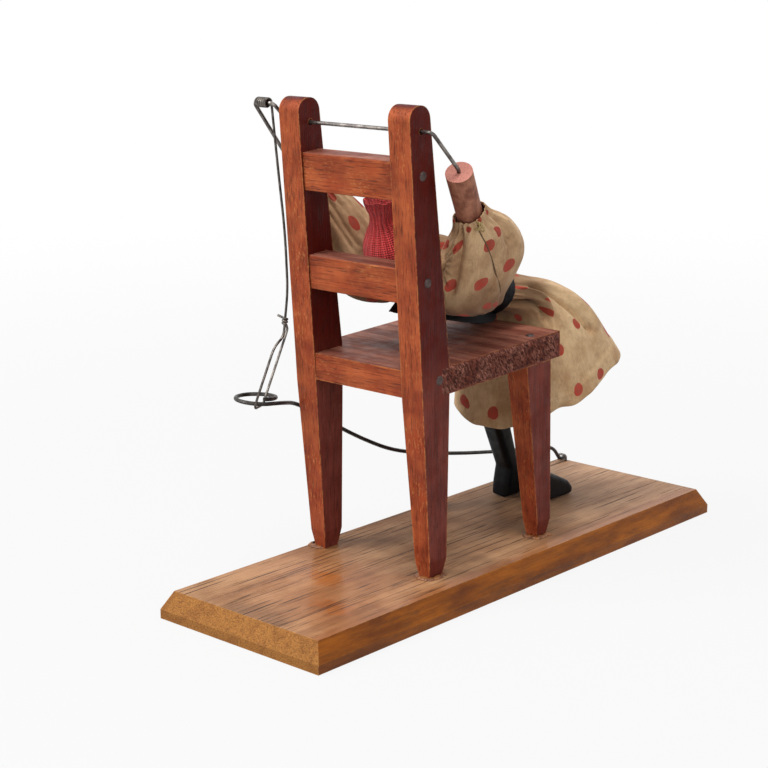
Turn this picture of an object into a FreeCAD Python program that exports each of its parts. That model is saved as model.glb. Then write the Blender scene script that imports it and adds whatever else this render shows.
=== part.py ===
"""Wooden chair automaton: a jointed doll hangs by its hands from a wire crank in the chair's back.

Millimetres.  The origin is the middle of the base board's underside, +Z is up, the chair faces +Y
and +X is at the right hand of someone sitting on it.  Heights of the chair and doll are counted from
the board's top face.  Pulling the finger ring down turns the crank and swings the doll up.
"""
import FreeCAD, Part
import math
import os

import Sketcher

Vector = FreeCAD.Vector
Rotation = FreeCAD.Rotation
Placement = FreeCAD.Placement

doc = FreeCAD.newDocument("chair_automaton")
sheet = doc.addObject("Spreadsheet::Sheet", "Sizes")

# ---------------------------------------------------------------- driving dimensions
SIZES = (
    # base board
    ("board_length", 300.0),
    ("board_width", 100.0),
    ("board_thick", 13.0),
    ("bevel_inset", 4.6),
    ("bevel_drop", 8.6),
    # seat
    ("seat_front", 37.5),
    ("seat_rear_inset", 1.0),
    ("seat_thick", 12.8),
    ("seat_rear_height", 85.8),
    ("seat_slope", 2.2),
    # chair: where its middle plane stands, and the two rear posts
    ("chair_middle", -6.5),
    ("post_gap", 54.2),
    ("post_width", 12.5),
    ("post_above_seat", 131.7),
    ("post_height", "=seat_rear_height + post_above_seat"),
    ("post_bend_above_seat", 11.2),
    ("post_bend_height", "=seat_rear_height + post_bend_above_seat"),
    ("post_foot_rear", -59.2),
    ("post_foot_depth", 12.0),
    ("post_bend_rear", -64.8),
    ("post_bend_depth", 19.4),
    ("post_top_rear", -73.6),
    ("post_top_depth", 13.4),
    ("post_top_roundness", 0.48),
    ("post_taper_height", 84.0),
    ("foot_width", 9.0),
    ("foot_whittle", 1.5),
    ("foot_whittle_height", 9.0),
    ("tenon_diameter", 5.4),
    ("tenon_length", 8.0),
    ("tenon_clearance", 0.1),
    # front legs
    ("front_leg_top_front", 30.0),
    ("front_leg_top_depth", 19.3),
    ("front_leg_foot_front", 32.0),
    ("front_leg_foot_depth", 10.3),
    # back rails
    ("top_rail_height", 17.5),
    ("top_rail_depth", 12.2),
    ("top_rail_inset", 1.0),
    ("top_rail_above_seat", 89.7),
    ("top_rail_up", "=seat_rear_height + top_rail_above_seat"),
    ("middle_rail_height", 16.0),
    ("middle_rail_depth", 12.4),
    ("middle_rail_inset", 0.8),
    ("middle_rail_above_seat", 43.7),
    ("middle_rail_up", "=seat_rear_height + middle_rail_above_seat"),
    ("rail_edge_radius", 0.6),
    # nails
    ("nail_diameter", 1.6),
    ("nail_grip", 9.0),
    ("nail_head_diameter", 4.4),
    ("nail_head_thick", 0.7),
    ("top_nail_rise", 2.2),
    ("middle_nail_rise", 1.5),
    ("seat_nail_forward", 11.2),
    ("seat_nail_rise", 1.6),
    ("leg_nail_side", 7.0),
    ("leg_nail_back", 9.0),
    # crank wire
    ("crank_wire_diameter", 1.8),
    ("axle_forward", -65.4),
    ("axle_above_seat", 120.4),
    ("axle_height", "=seat_rear_height + axle_above_seat"),
    ("axle_hole_diameter", 2.8),
    ("axle_side_gap", 1.5),
    ("axle_right_reach", 6.2),
    ("crank_throw", 12.4),
    ("crank_angle", 137.3),
    ("pin_length", 12.6),
    ("crank_bend_radius", 2.2),
    # connecting rod: coil bearing, straight rod and the long loop round the ring
    ("rod_wire_diameter", 1.2),
    ("coil_turns", 5.5),
    ("coil_pitch", 1.22),
    ("coil_clearance", 0.35),
    ("rod_side_step", 1.4),
    ("rod_shoulder_drop", 34.0),
    ("rod_shoulder_forward", 4.4),
    ("rod_waist_drop", 60.0),
    ("rod_waist_forward", 7.8),
    ("rod_elbow_drop", 88.0),
    ("rod_elbow_forward", 9.0),
    ("rod_knot_drop", 102.6),
    ("rod_knot_forward", 6.8),
    ("rod_split_length", 7.0),
    ("rod_split_drop", "=rod_knot_drop + rod_split_length"),
    ("rod_split_forward", 5.8),
    ("rod_knee_length", 3.6),
    ("rod_knee_drop", "=rod_split_drop + rod_knee_length"),
    ("rod_knee_forward", -2.4),
    ("rod_knee_side", 1.9),
    ("eye_side", 1.0),
    ("eye_forward", 1.6),
    ("knot_turns", 2.25),
    ("knot_pitch", 1.3),
    ("knot_tail", 4.0),
    ("loop_travel", 4.9),
    ("loop_clearance", 0.8),
    ("loop_lean_side", 1.1),
    ("loop_lean_forward", 1.1),
    ("loop_lean_height", 5.4),
    ("loop_corner_radius", 2.0),
    ("loop_turn", 111.7),
    # lever and finger ring
    ("lever_wire_diameter", 2.0),
    ("lever_side", -42.0),
    ("lever_anchor_inset", 7.0),
    ("lever_anchor_forward", "=board_length / 2 - lever_anchor_inset"),
    ("lever_anchor_lift", 0.35),
    ("lever_tail", 2.5),
    ("lever_hump_side", 0.0),
    ("lever_hump_run", 9.0),
    ("lever_hump_forward", "=lever_anchor_forward - lever_hump_run"),
    ("lever_hump_height", 9.6),
    ("lever_front_side", 1.8),
    ("lever_front_forward", 95.0),
    ("lever_front_height", 15.3),
    ("lever_middle_side", 3.4),
    ("lever_middle_forward", 50.0),
    ("lever_middle_height", 22.9),
    ("lever_seat_side", 4.7),
    ("lever_seat_forward", 5.0),
    ("lever_seat_height", 33.8),
    ("lever_post_side", 6.2),
    ("lever_post_forward", -22.0),
    ("lever_post_height", 47.2),
    ("lever_rear_side", 6.6),
    ("lever_rear_forward", -63.0),
    ("lever_rear_height", 71.9),
    ("ring_radius", 9.4),
    ("ring_side", -52.5),
    ("ring_forward", -85.2),
    ("ring_height", 77.6),
    ("ring_tilt", 5.0),
    ("ring_turns", 1.06),
    ("ring_pitch", 2.3),
    ("ring_wire_angle", 42.0),
    ("staple_wire_diameter", 1.4),
    ("staple_span", 5.0),
    ("staple_depth", 6.0),
    ("staple_clearance", 0.3),
    # doll: shoulder axis, spine, arms
    ("shoulder_forward", -12.6),
    ("shoulder_above_seat", 53.7),
    ("shoulder_height", "=seat_rear_height + shoulder_above_seat"),
    ("spine_drop_angle", 27.1),
    ("arm_length", 64.0),
    ("arm_past_pin", 6.0),
    ("arm_shoulder_radius", 5.7),
    ("arm_hand_radius", 6.2),
    ("arm_side", 31.5),
    ("arm_spread", 16.9),
    ("arm_back", 38.0),
    ("left_arm_spread", 18.2),
    ("left_arm_back", 42.0),
    ("hand_hole_depth", 12.0),
    ("sleeve_flat", 19.3),
    ("shoulder_pin_reach", 34.8),
    ("doll_pin_diameter", 1.6),
    ("doll_pin_clearance", 0.1),
    ("joint_gap", 0.3),
    # torso
    ("torso_half_width", 15.5),
    ("torso_waist_half_width", 11.0),
    ("torso_thick", 12.0),
    ("torso_above_shoulder", 10.0),
    ("torso_neck_half_width", 7.0),
    ("waist_along", 42.0),
    ("hip_along", 68.0),
    ("hip_end", 5.5),
    ("hip_tongue_half_width", 4.4),
    ("hip_tongue_start", 56.0),
    # head and cap
    ("head_radius", 14.0),
    ("head_along", -25.2),
    ("head_rise", -3.3),
    ("neck_diameter", 6.0),
    ("neck_sink", 6.0),
    ("cap_thick", 1.2),
    ("cap_lean", 122.0),
    ("cap_brim_drop", 3.0),
    ("cap_tie_along", 18.5),
    ("cap_tie_radius", 4.7),
    ("cap_thread_diameter", 0.8),
    ("tassel_length", 7.4),
    ("tassel_radius", 9.2),
    ("tassel_lean", 98.0),
    # legs
    ("leg_side", 10.3),
    ("leg_width", 11.0),
    ("leg_lean", 4.5),
    ("hip_radius", 6.0),
    ("knee_forward", 1.0),
    ("knee_drop", 51.0),
    ("ankle_forward", 22.0),
    ("ankle_drop", 92.0),
    ("heel_forward", 16.5),
    ("foot_length", 31.0),
    ("toe_height", 8.0),
    ("ankle_depth", 9.0),
    ("knee_depth", 11.5),
    ("sole_gap", 0.3),
    ("leg_edge_radius", 2.4),
    # dress
    ("cloth_thick", 1.2),
    ("bodice_half_width", 18.9),
    ("bodice_half_depth", 13.0),
    ("bodice_squareness", 2.4),
    ("waist_half_width", 17.6),
    ("waist_half_depth", 11.0),
    ("band_width", 5.0),
    ("band_thick", 1.0),
    ("cuff_along", 31.5),
    ("cuff_tie_along", 34.5),
    ("cuff_tie_radius", 7.4),
    ("cuff_frill_radius", 8.6),
    ("cuff_thread_diameter", 0.8),
    ("sleeve_length", 66.0),
    ("sleeve_depth", 25.0),
    ("sleeve_width", 12.0),
    ("sleeve_sag", 8.0),
    ("skirt_half_width", 37.0),
    ("skirt_squareness", 4.0),
    ("skirt_rear_gap", 0.8),
    ("lap_rear_rise", 19.6875),
    ("lap_front_rise", 37.95),
    ("thigh_rear_rise", 2.955),
    ("thigh_front_rise", 32.175),
    ("shin_rear_rise", 19.885),
    ("shin_front_rise", 22.275),
    ("hem_rear_height", 48.5),
    ("hem_front_forward", 104.5),
    ("hem_front_height", 82.5),
)


def fill_sheet():
    """One row per size: its name in column A, its number or formula in column B under that alias."""
    for row, (alias, number) in enumerate(SIZES, start=1):
        sheet.set("A%d" % row, alias)
        sheet.set("B%d" % row, str(number))
        sheet.setAlias("B%d" % row, alias)
    doc.recompute()


def size(expression):
    """The present value of a sheet alias or of a sum of aliases, written as in an expression."""
    return float(sheet.evalExpression(expression))


fill_sheet()
BOARD_TOP = size("board_thick")
MIDDLE = size("chair_middle")
ACROSS = Vector(1, 0, 0)


# ---------------------------------------------------------------- ways to build
def bound(expression):
    """An expression on the sheet's aliases, as another object of the document has to write it."""
    words = {alias for alias, number in SIZES}
    parts = []
    word = ""
    for letter in expression + " ":
        if letter.isalnum() or letter == "_":
            word += letter
            continue
        parts.append("Sizes." + word if word in words else word)
        parts.append(letter)
        word = ""
    return "".join(parts).strip()


def new_body(label):
    body = doc.addObject("PartDesign::Body", label)
    body.Label = label
    return body


def new_sketch(body, name, role, rise=None):
    """A sketch on one of the body's own origin planes, raised above it by an expression."""
    plane = [item for item in body.Origin.OriginFeatures if item.Role == role][0]
    sketch = body.newObject("Sketcher::SketchObject", name)
    sketch.AttachmentSupport = [(plane, "")]
    sketch.MapMode = "FlatFace"
    if rise:
        sketch.setExpression("AttachmentOffset.Base.z", bound(rise))
    return sketch


def tie(sketch, kind, geometry, point, expression):
    """Hold a point of the sketch at a signed distance from its origin along one axis."""
    row = sketch.addConstraint(Sketcher.Constraint(kind, -1, 1, geometry, point, size(expression)))
    sketch.setExpression("Constraints[%d]" % row, bound(expression))


def outline(sketch, corners):
    """A closed outline of straight sides; each corner is a pair of expressions."""
    first = sketch.GeometryCount
    places = [Vector(size(across), size(up), 0) for across, up in corners]
    total = len(places)
    for index in range(total):
        line = Part.LineSegment(places[index], places[(index + 1) % total])
        sketch.addGeometry(line, False)
    for index in range(total):
        after = first + (index + 1) % total
        sketch.addConstraint(Sketcher.Constraint("Coincident", first + index, 2, after, 1))
    for index, (across, up) in enumerate(corners):
        tie(sketch, "DistanceX", first + index, 1, across)
        tie(sketch, "DistanceY", first + index, 1, up)


def circle(sketch, across, up, diameter):
    centre = Vector(size(across), size(up), 0)
    index = sketch.addGeometry(Part.Circle(centre, Vector(0, 0, 1), size(diameter) / 2), False)
    tie(sketch, "DistanceX", index, 3, across)
    tie(sketch, "DistanceY", index, 3, up)
    row = sketch.addConstraint(Sketcher.Constraint("Diameter", index, size(diameter)))
    sketch.setExpression("Constraints[%d]" % row, bound(diameter))


def pad(body, sketch, length, both_ways=False, downwards=False):
    feature = body.newObject("PartDesign::Pad", "Pad")
    feature.Profile = sketch
    feature.setExpression("Length", bound(length))
    feature.Midplane = both_ways
    feature.Reversed = downwards
    doc.recompute()
    return feature


def pocket_through(body, sketch):
    """Cut the sketch right through, both ways from its plane."""
    before = body.Shape.Volume
    feature = body.newObject("PartDesign::Pocket", "Pocket")
    feature.Profile = sketch
    feature.Type = "ThroughAll"
    feature.Midplane = True
    doc.recompute()
    if not feature.Shape.Volume < before:
        raise ValueError("a pocket in %s cuts nothing" % body.Label)


def pocket_down(body, sketch, depth):
    """Cut the sketch down into the solid below its plane."""
    before = body.Shape.Volume
    feature = body.newObject("PartDesign::Pocket", "Pocket")
    feature.Profile = sketch
    feature.setExpression("Length", bound(depth))
    doc.recompute()
    if not feature.Shape.Volume < before:
        raise ValueError("a pocket in %s cuts nothing" % body.Label)


def place(item, x="0", y="0", z="0", turn=None, angle="0"):
    """Put an object where three expressions say, turned about an axis through that point."""
    if turn:
        item.Placement = Placement(Vector(), Rotation(turn, size(angle)))
        item.setExpression("Placement.Rotation.Angle", bound(angle))
    for axis, expression in (("x", x), ("y", y), ("z", z)):
        item.setExpression("Placement.Base." + axis, bound(expression))


def primitive(kind, name, **sizes):
    """A Part primitive whose named sizes are expressions."""
    item = doc.addObject("Part::" + kind, name)
    for field, expression in sizes.items():
        item.setExpression(field, bound(expression))
    return item


def aim(item, base, direction):
    """Stand a primitive on a point, its own Z along a direction."""
    item.Placement = Placement(base, Rotation(Vector(0, 0, 1), direction))


def cut(label, base, *tools):
    """The base less every tool."""
    doc.recompute()
    for index, tool in enumerate(tools, start=1):
        name = label if index == len(tools) else label + "_blank%d" % index
        item = doc.addObject("Part::Cut", name)
        item.Base = base
        item.Tool = tool
        base = item
    base.Label = label
    doc.recompute()
    return base


def group(label, members):
    """Separate solids of one kind as one sub-part."""
    item = doc.addObject("Part::Compound", label)
    item.Label = label
    item.Links = members
    return item


def shaped(label, shape):
    """A sub-part whose shape comes from Part's own functions."""
    item = doc.addObject("Part::Feature", label)
    item.Label = label
    item.Shape = shape
    item.Placement = Placement()
    return item


def bent_path(points, radius=None):
    """Straight runs joined by tangent arcs; with no radius, each arc is as large as its runs allow."""
    edges = []
    start = points[0]
    for before, corner, after in zip(points, points[1:], points[2:]):
        back = before - corner
        ahead = after - corner
        half_turn = (math.pi - back.getAngle(ahead)) / 2
        easy = 0.45 * min(back.Length, ahead.Length) / math.tan(half_turn)
        bend = radius if radius else easy
        reach = bend * math.tan(half_turn)
        back.normalize()
        ahead.normalize()
        inward = (back + ahead).normalize()
        middle = corner + inward * (bend / math.cos(half_turn) - bend)
        enter = corner + back * reach
        leave = corner + ahead * reach
        edges.append(Part.LineSegment(start, enter).toShape())
        edges.append(Part.Arc(enter, middle, leave).toShape())
        start = leave
    edges.append(Part.LineSegment(start, points[-1]).toShape())
    return edges


def ring_wire(centre, across, up, half_width, half_depth, squareness=2.0, count=16):
    """A closed ring of straight sides, round at squareness 2 and squarer above it."""
    points = []
    for index in range(count):
        angle = 2 * math.pi * index / count
        side = math.copysign(abs(math.cos(angle)) ** (2 / squareness), math.cos(angle))
        rise = math.copysign(abs(math.sin(angle)) ** (2 / squareness), math.sin(angle))
        points.append(centre + across * (half_width * side) + up * (half_depth * rise))
    return Part.makePolygon(points + points[:1])


def drawn_wire(edges, diameter):
    """Eight-sided wire along a row of edges, each starting where the one before it ends."""
    start = edges[0].valueAt(edges[0].FirstParameter)
    turned = Rotation(Vector(0, 0, 1), edges[0].tangentAt(edges[0].FirstParameter))
    across = turned.multVec(Vector(1, 0, 0))
    up = turned.multVec(Vector(0, 1, 0))
    section = ring_wire(start, across, up, diameter / 2, diameter / 2, count=8)
    return Part.Wire(edges).makePipeShell([section], True, False)


def left_helix(turns, pitch, radius, centre, rotation):
    """A left-handed helix up from a point, starting at the rotated X direction."""
    path = Part.makeHelix(pitch, pitch * turns, radius, 0, True)
    path.Placement = Placement(centre, rotation)
    return path.Edges[0]


def start_of(edge):
    heading = edge.tangentAt(edge.FirstParameter)
    return edge.valueAt(edge.FirstParameter), heading.normalize()


def end_of(edge):
    heading = edge.tangentAt(edge.LastParameter)
    return edge.valueAt(edge.LastParameter), heading.normalize()


# ---------------------------------------------------------------- chair
TOWARDS_TOP = "(post_top_rear - post_bend_rear) / (post_height - post_bend_height)"
RAKE = "atan(-1 * %s)" % TOWARDS_TOP
SIDE_STEP = "(post_gap + post_width) / 2"
SEAT_REAR = "(post_bend_rear + seat_rear_inset)"


def back_of_posts(height):
    """Where the raked part of the posts has its rear edge at a height above the board."""
    return "(post_bend_rear + (%s - post_bend_height) * %s)" % (height, TOWARDS_TOP)


def in_rail(rail, rise):
    """The middle of a rail's section, moved up along the rail by a rise."""
    forward = "%s_depth / 2" % rail
    up = "(%s_height / 2 + %s)" % (rail, rise)
    corner = "%s + %s_inset" % (back_of_posts(rail + "_up"), rail)
    y = "%s + %s * cos(%s) - %s * sin(%s)" % (corner, forward, RAKE, up, RAKE)
    z = "%s_up + %s * sin(%s) + %s * cos(%s)" % (rail, forward, RAKE, up, RAKE)
    return y, z


NAIL_PLACES = {
    "top_rail_nails": in_rail("top_rail", "top_nail_rise"),
    "middle_rail_nails": in_rail("middle_rail", "middle_nail_rise"),
    "seat_nails": ("%s + seat_nail_forward" % SEAT_REAR,
                   "seat_rear_height + seat_thick / 2 + seat_nail_rise"),
}


def narrow_the_foot(body):
    """Taper the leg on its left face only, then whittle both faces in towards the tenon."""
    sketch = new_sketch(body, "FootTaper", "XZ_Plane")
    outline(sketch, (
        ("-post_width / 2", "post_taper_height"),
        ("post_width / 2 - foot_width", "foot_whittle_height"),
        ("post_width / 2 - foot_width + foot_whittle", "0"),
        ("-post_width", "0"),
    ))
    outline(sketch, (
        ("post_width / 2", "foot_whittle_height"),
        ("post_width", "0"),
        ("post_width / 2 - foot_whittle", "0"),
    ))
    pocket_through(body, sketch)


def add_tenon(body, foot_middle):
    sketch = new_sketch(body, "Tenon", "XY_Plane")
    circle(sketch, "post_width / 2 - foot_width / 2", foot_middle, "tenon_diameter")
    pad(body, sketch, "tenon_length", downwards=True)


def build_rear_post(label, side):
    body = new_body(label)
    profile = new_sketch(body, "SideProfile", "YZ_Plane")
    outline(profile, (
        ("post_foot_rear + foot_whittle", "0"),
        ("post_foot_rear + post_foot_depth - foot_whittle", "0"),
        ("post_foot_rear + post_foot_depth", "foot_whittle_height"),
        ("post_bend_rear + post_bend_depth", "post_bend_height"),
        ("post_top_rear + post_top_depth", "post_height"),
        ("post_top_rear", "post_height"),
        ("post_bend_rear", "post_bend_height"),
        ("post_foot_rear", "foot_whittle_height"),
    ))
    blank = pad(body, profile, "post_width", both_ways=True)
    top = size("post_height")
    corners = []
    for index, edge in enumerate(blank.Shape.Edges, start=1):
        ends = [vertex.Z for vertex in edge.Vertexes]
        across = abs(edge.tangentAt(edge.FirstParameter).x) > 0.9
        if across and min(ends) > top - 0.01:
            corners.append("Edge%d" % index)
    rounding = body.newObject("PartDesign::Fillet", "RoundTop")
    rounding.Base = (blank, corners)
    rounding.setExpression("Radius", bound("post_top_depth * post_top_roundness"))
    doc.recompute()
    narrow_the_foot(body)
    add_tenon(body, "post_foot_rear + post_foot_depth / 2")
    holes = new_sketch(body, "AxleAndNailHoles", "YZ_Plane")
    circle(holes, "axle_forward", "axle_height", "axle_hole_diameter")
    for forward, height in NAIL_PLACES.values():
        circle(holes, forward, height, "nail_diameter")
    pocket_through(body, holes)
    place(body, x="chair_middle + %s * %s" % (side, SIDE_STEP), z="board_thick")
    return body


def build_rail(rail):
    """A back rail between the posts, leaning with them, with a blind nail hole in each end."""
    body = new_body(rail + "_blank")
    section = new_sketch(body, "Section", "YZ_Plane")
    outline(section, (
        ("0", "0"),
        (rail + "_depth", "0"),
        (rail + "_depth", rail + "_height"),
        ("0", rail + "_height"),
    ))
    blank = pad(body, section, "post_gap", both_ways=True)
    long_edges = []
    for index, edge in enumerate(blank.Shape.Edges, start=1):
        if abs(edge.tangentAt(edge.FirstParameter).x) > 0.9:
            long_edges.append("Edge%d" % index)
    rounding = body.newObject("PartDesign::Fillet", "SoftenedEdges")
    rounding.Base = (blank, long_edges)
    rounding.setExpression("Radius", bound("rail_edge_radius"))
    place(body, "chair_middle", "%s + %s_inset" % (back_of_posts(rail + "_up"), rail),
          "board_thick + %s_up" % rail, ACROSS, RAKE)
    return body


def build_nails(label, forward, height):
    """A pair of nails driven through the posts from outside, heads on the posts' outer faces."""
    nails = []
    for side in (-1, 1):
        shank = primitive("Cylinder", label + "_shank", Radius="nail_diameter / 2",
                          Height="post_width + nail_grip")
        head = primitive("Cone", label + "_head", Radius1="nail_head_diameter / 2",
                         Radius2="nail_head_diameter / 3", Height="nail_head_thick")
        outer = "chair_middle + %d * (post_gap / 2 + post_width)" % side
        inner = "chair_middle + %d * (post_gap / 2 - nail_grip)" % side
        place(shank, inner, forward, "board_thick + %s" % height, Vector(0, side, 0), "90")
        place(head, outer, forward, "board_thick + %s" % height, Vector(0, side, 0), "90")
        nail = doc.addObject("Part::Fuse", label + "_nail")
        nail.Base = shank
        nail.Tool = head
        nails.append(nail)
    return group(label, nails)


def build_seat():
    body = new_body("seat_plank")
    plan = new_sketch(body, "Plan", "XY_Plane")
    half = "(post_gap / 2 + post_width)"
    deep = "(seat_front - %s) / cos(seat_slope)" % SEAT_REAR
    outline(plan, (
        ("-1 * %s" % half, "0"),
        (half, "0"),
        (half, deep),
        ("-1 * %s" % half, deep),
    ))
    pad(body, plan, "seat_thick")
    place(body, "chair_middle", SEAT_REAR, "board_thick + seat_rear_height", ACROSS, "seat_slope")
    return body


LEG_TOP = ("seat_rear_height + (front_leg_top_front - %s) * tan(seat_slope) + seat_thick / 2"
           % SEAT_REAR)


def build_front_leg(label, side):
    """A tapered front leg, left long enough to be scribed to the seat's sloping underside."""
    body = new_body(label)
    profile = new_sketch(body, "SideProfile", "YZ_Plane")
    outline(profile, (
        ("front_leg_foot_front - front_leg_foot_depth + foot_whittle", "0"),
        ("front_leg_foot_front - foot_whittle", "0"),
        ("front_leg_foot_front", "foot_whittle_height"),
        ("front_leg_top_front", LEG_TOP),
        ("front_leg_top_front - front_leg_top_depth", LEG_TOP),
        ("front_leg_foot_front - front_leg_foot_depth", "foot_whittle_height"),
    ))
    pad(body, profile, "post_width", both_ways=True)
    narrow_the_foot(body)
    add_tenon(body, "front_leg_foot_front - front_leg_foot_depth / 2")
    place(body, x="chair_middle + %s * %s" % (side, SIDE_STEP), z="board_thick")
    return body


def build_leg_nails():
    """A nail down through the seat into the top of each front leg."""
    nails = []
    up_from_seat = Vector(0, -math.sin(math.radians(size("seat_slope"))),
                          math.cos(math.radians(size("seat_slope"))))
    seat_rear = size(SEAT_REAR)
    forward = size("front_leg_top_front - leg_nail_back")
    underside = Vector(0, forward, BOARD_TOP + size("seat_rear_height")
                       + (forward - seat_rear) * math.tan(math.radians(size("seat_slope"))))
    for side in (-1, 1):
        under = underside + ACROSS * (MIDDLE + side * size("post_gap / 2 + leg_nail_side"))
        shank = primitive("Cylinder", "leg_nail_shank", Radius="nail_diameter / 2",
                          Height="seat_thick + nail_grip")
        aim(shank, under - up_from_seat * size("nail_grip"), up_from_seat)
        head = primitive("Cone", "leg_nail_head", Radius1="nail_head_diameter / 2",
                         Radius2="nail_head_diameter / 3", Height="nail_head_thick")
        aim(head, under + up_from_seat * size("seat_thick"), up_from_seat)
        nail = doc.addObject("Part::Fuse", "leg_nail")
        nail.Base = shank
        nail.Tool = head
        nails.append(nail)
    return group("front_leg_nails", nails)


def build_board():
    """The base board: square below, bevelled above, with the tenon and staple holes."""
    body = new_body("base_board")
    half_wide = "board_width / 2"
    half_long = "board_length / 2"
    base = new_sketch(body, "Base", "XY_Plane")
    outline(base, (
        ("-" + half_wide, "-" + half_long), (half_wide, "-" + half_long),
        (half_wide, half_long), ("-" + half_wide, half_long),
    ))
    pad(body, base, "board_thick - bevel_drop")
    shoulder = new_sketch(body, "BevelFoot", "XY_Plane", "board_thick - bevel_drop")
    outline(shoulder, (
        ("-" + half_wide, "-" + half_long), (half_wide, "-" + half_long),
        (half_wide, half_long), ("-" + half_wide, half_long),
    ))
    crown = new_sketch(body, "BevelTop", "XY_Plane", "board_thick")
    top_wide = half_wide + " - bevel_inset"
    top_long = half_long + " - bevel_inset"
    outline(crown, (
        ("-1 * (%s)" % top_wide, "-1 * (%s)" % top_long), (top_wide, "-1 * (%s)" % top_long),
        (top_wide, top_long), ("-1 * (%s)" % top_wide, top_long),
    ))
    bevel = body.newObject("PartDesign::AdditiveLoft", "Bevel")
    bevel.Profile = shoulder
    bevel.Sections = [crown]
    bevel.Ruled = True
    doc.recompute()
    mortises = new_sketch(body, "Mortises", "XY_Plane", "board_thick")
    hole = "tenon_diameter + 2 * tenon_clearance"
    for side in (-1, 1):
        across = "chair_middle + %d * %s + (post_width - foot_width) / 2" % (side, SIDE_STEP)
        circle(mortises, across, "post_foot_rear + post_foot_depth / 2", hole)
        circle(mortises, across, "front_leg_foot_front - front_leg_foot_depth / 2", hole)
    pocket_down(body, mortises, "tenon_length + tenon_clearance")
    staple_holes = new_sketch(body, "StapleHoles", "XY_Plane", "board_thick")
    for side in (-1, 1):
        circle(staple_holes, "lever_side + %d * staple_span / 2" % side,
               "lever_anchor_forward", "staple_wire_diameter")
    pocket_down(body, staple_holes, "staple_depth")
    return body


base_board = build_board()
post_left = build_rear_post("rear_post_left", -1)
post_right = build_rear_post("rear_post_right", 1)
nails = {label: build_nails(label, forward, height)
         for label, (forward, height) in NAIL_PLACES.items()}
leg_nails = build_leg_nails()
top_rail = cut("top_rail", build_rail("top_rail"), nails["top_rail_nails"])
middle_rail = cut("middle_rail", build_rail("middle_rail"), nails["middle_rail_nails"])
seat_board = cut("seat_board", build_seat(), post_left, post_right, nails["seat_nails"], leg_nails)
front_leg_left = cut("front_leg_left", build_front_leg("left_leg_blank", -1), seat_board, leg_nails)
front_leg_right = cut("front_leg_right", build_front_leg("right_leg_blank", 1), seat_board, leg_nails)
stand = [base_board, post_left, post_right, top_rail, middle_rail, seat_board,
         front_leg_left, front_leg_right, leg_nails] + list(nails.values())


# ---------------------------------------------------------------- crank and its arms
AXLE = Vector(0, size("axle_forward"), BOARD_TOP + size("axle_height"))
SHOULDER = Vector(0, size("shoulder_forward"), BOARD_TOP + size("shoulder_height"))
POST_OUTER = size("post_gap / 2 + post_width")


def arm_axis(side):
    """The shoulder end and the direction towards the hand of an arm, with its hand end."""
    spread = size("arm_spread" if side > 0 else "left_arm_spread")
    back = size("arm_back" if side > 0 else "left_arm_back")
    length = size("arm_length")
    rise = math.sqrt(length ** 2 - spread ** 2 - back ** 2)
    shoulder = SHOULDER + ACROSS * (MIDDLE + side * size("arm_side"))
    direction = Vector(side * spread, -back, rise) * (1 / length)
    return shoulder, direction, shoulder + direction * length


def build_crank_wire():
    """One bent wire: hand, axle, web, pin and the other hand."""
    radius = size("crank_wire_diameter / 2")
    depth = size("hand_hole_depth")
    proud = size("crank_wire_diameter")
    turn = math.radians(size("crank_angle"))
    throw = Vector(0, math.cos(turn), math.sin(turn)) * size("crank_throw")
    web = ACROSS * (MIDDLE - POST_OUTER - size("axle_side_gap") - radius)
    reach = ACROSS * (MIDDLE + POST_OUTER + size("axle_right_reach"))
    right_shoulder, right_up, right_hand = arm_axis(1)
    left_shoulder, left_up, left_hand = arm_axis(-1)
    path = bent_path((
        right_hand - right_up * depth,
        right_hand + right_up * proud,
        AXLE + reach,
        AXLE + web,
        AXLE + web + throw,
        AXLE + web + throw - ACROSS * size("pin_length"),
        left_hand + left_up * proud,
        left_hand - left_up * depth,
    ), size("crank_bend_radius"))
    return shaped("crank_wire", drawn_wire(path, 2 * radius)), AXLE + web + throw


def build_arm(label, side):
    """A turned arm, bored for the crank wire and for the shoulder pin."""
    shoulder, direction, hand = arm_axis(side)
    past = size("arm_past_pin")
    cone = primitive("Cone", label + "_blank", Radius1="arm_shoulder_radius",
                     Radius2="arm_hand_radius", Height="arm_length + arm_past_pin")
    aim(cone, shoulder - direction * past, direction)
    grip = primitive("Cylinder", label + "_wire_hole", Radius="crank_wire_diameter / 2",
                     Height="hand_hole_depth + arm_hand_radius")
    aim(grip, hand - direction * size("hand_hole_depth"), direction)
    bore = primitive("Cylinder", label + "_pin_hole",
                     Radius="doll_pin_diameter / 2 + doll_pin_clearance",
                     Height="shoulder_pin_reach + joint_gap")
    aim(bore, SHOULDER + ACROSS * MIDDLE, Vector(side, 0, 0))
    return cut(label, cone, grip, bore)


def body_side(side):
    """Everything nearer to the chair's middle than the flat sides of the sleeves."""
    block = primitive("Box", "body_side", Length="sleeve_flat", Width="2 * arm_length",
                      Height="2 * arm_length")
    start = "chair_middle" if side > 0 else "chair_middle - sleeve_flat"
    place(block, start, "shoulder_forward - arm_length",
          "board_thick + shoulder_height - arm_length")
    return block


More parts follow.
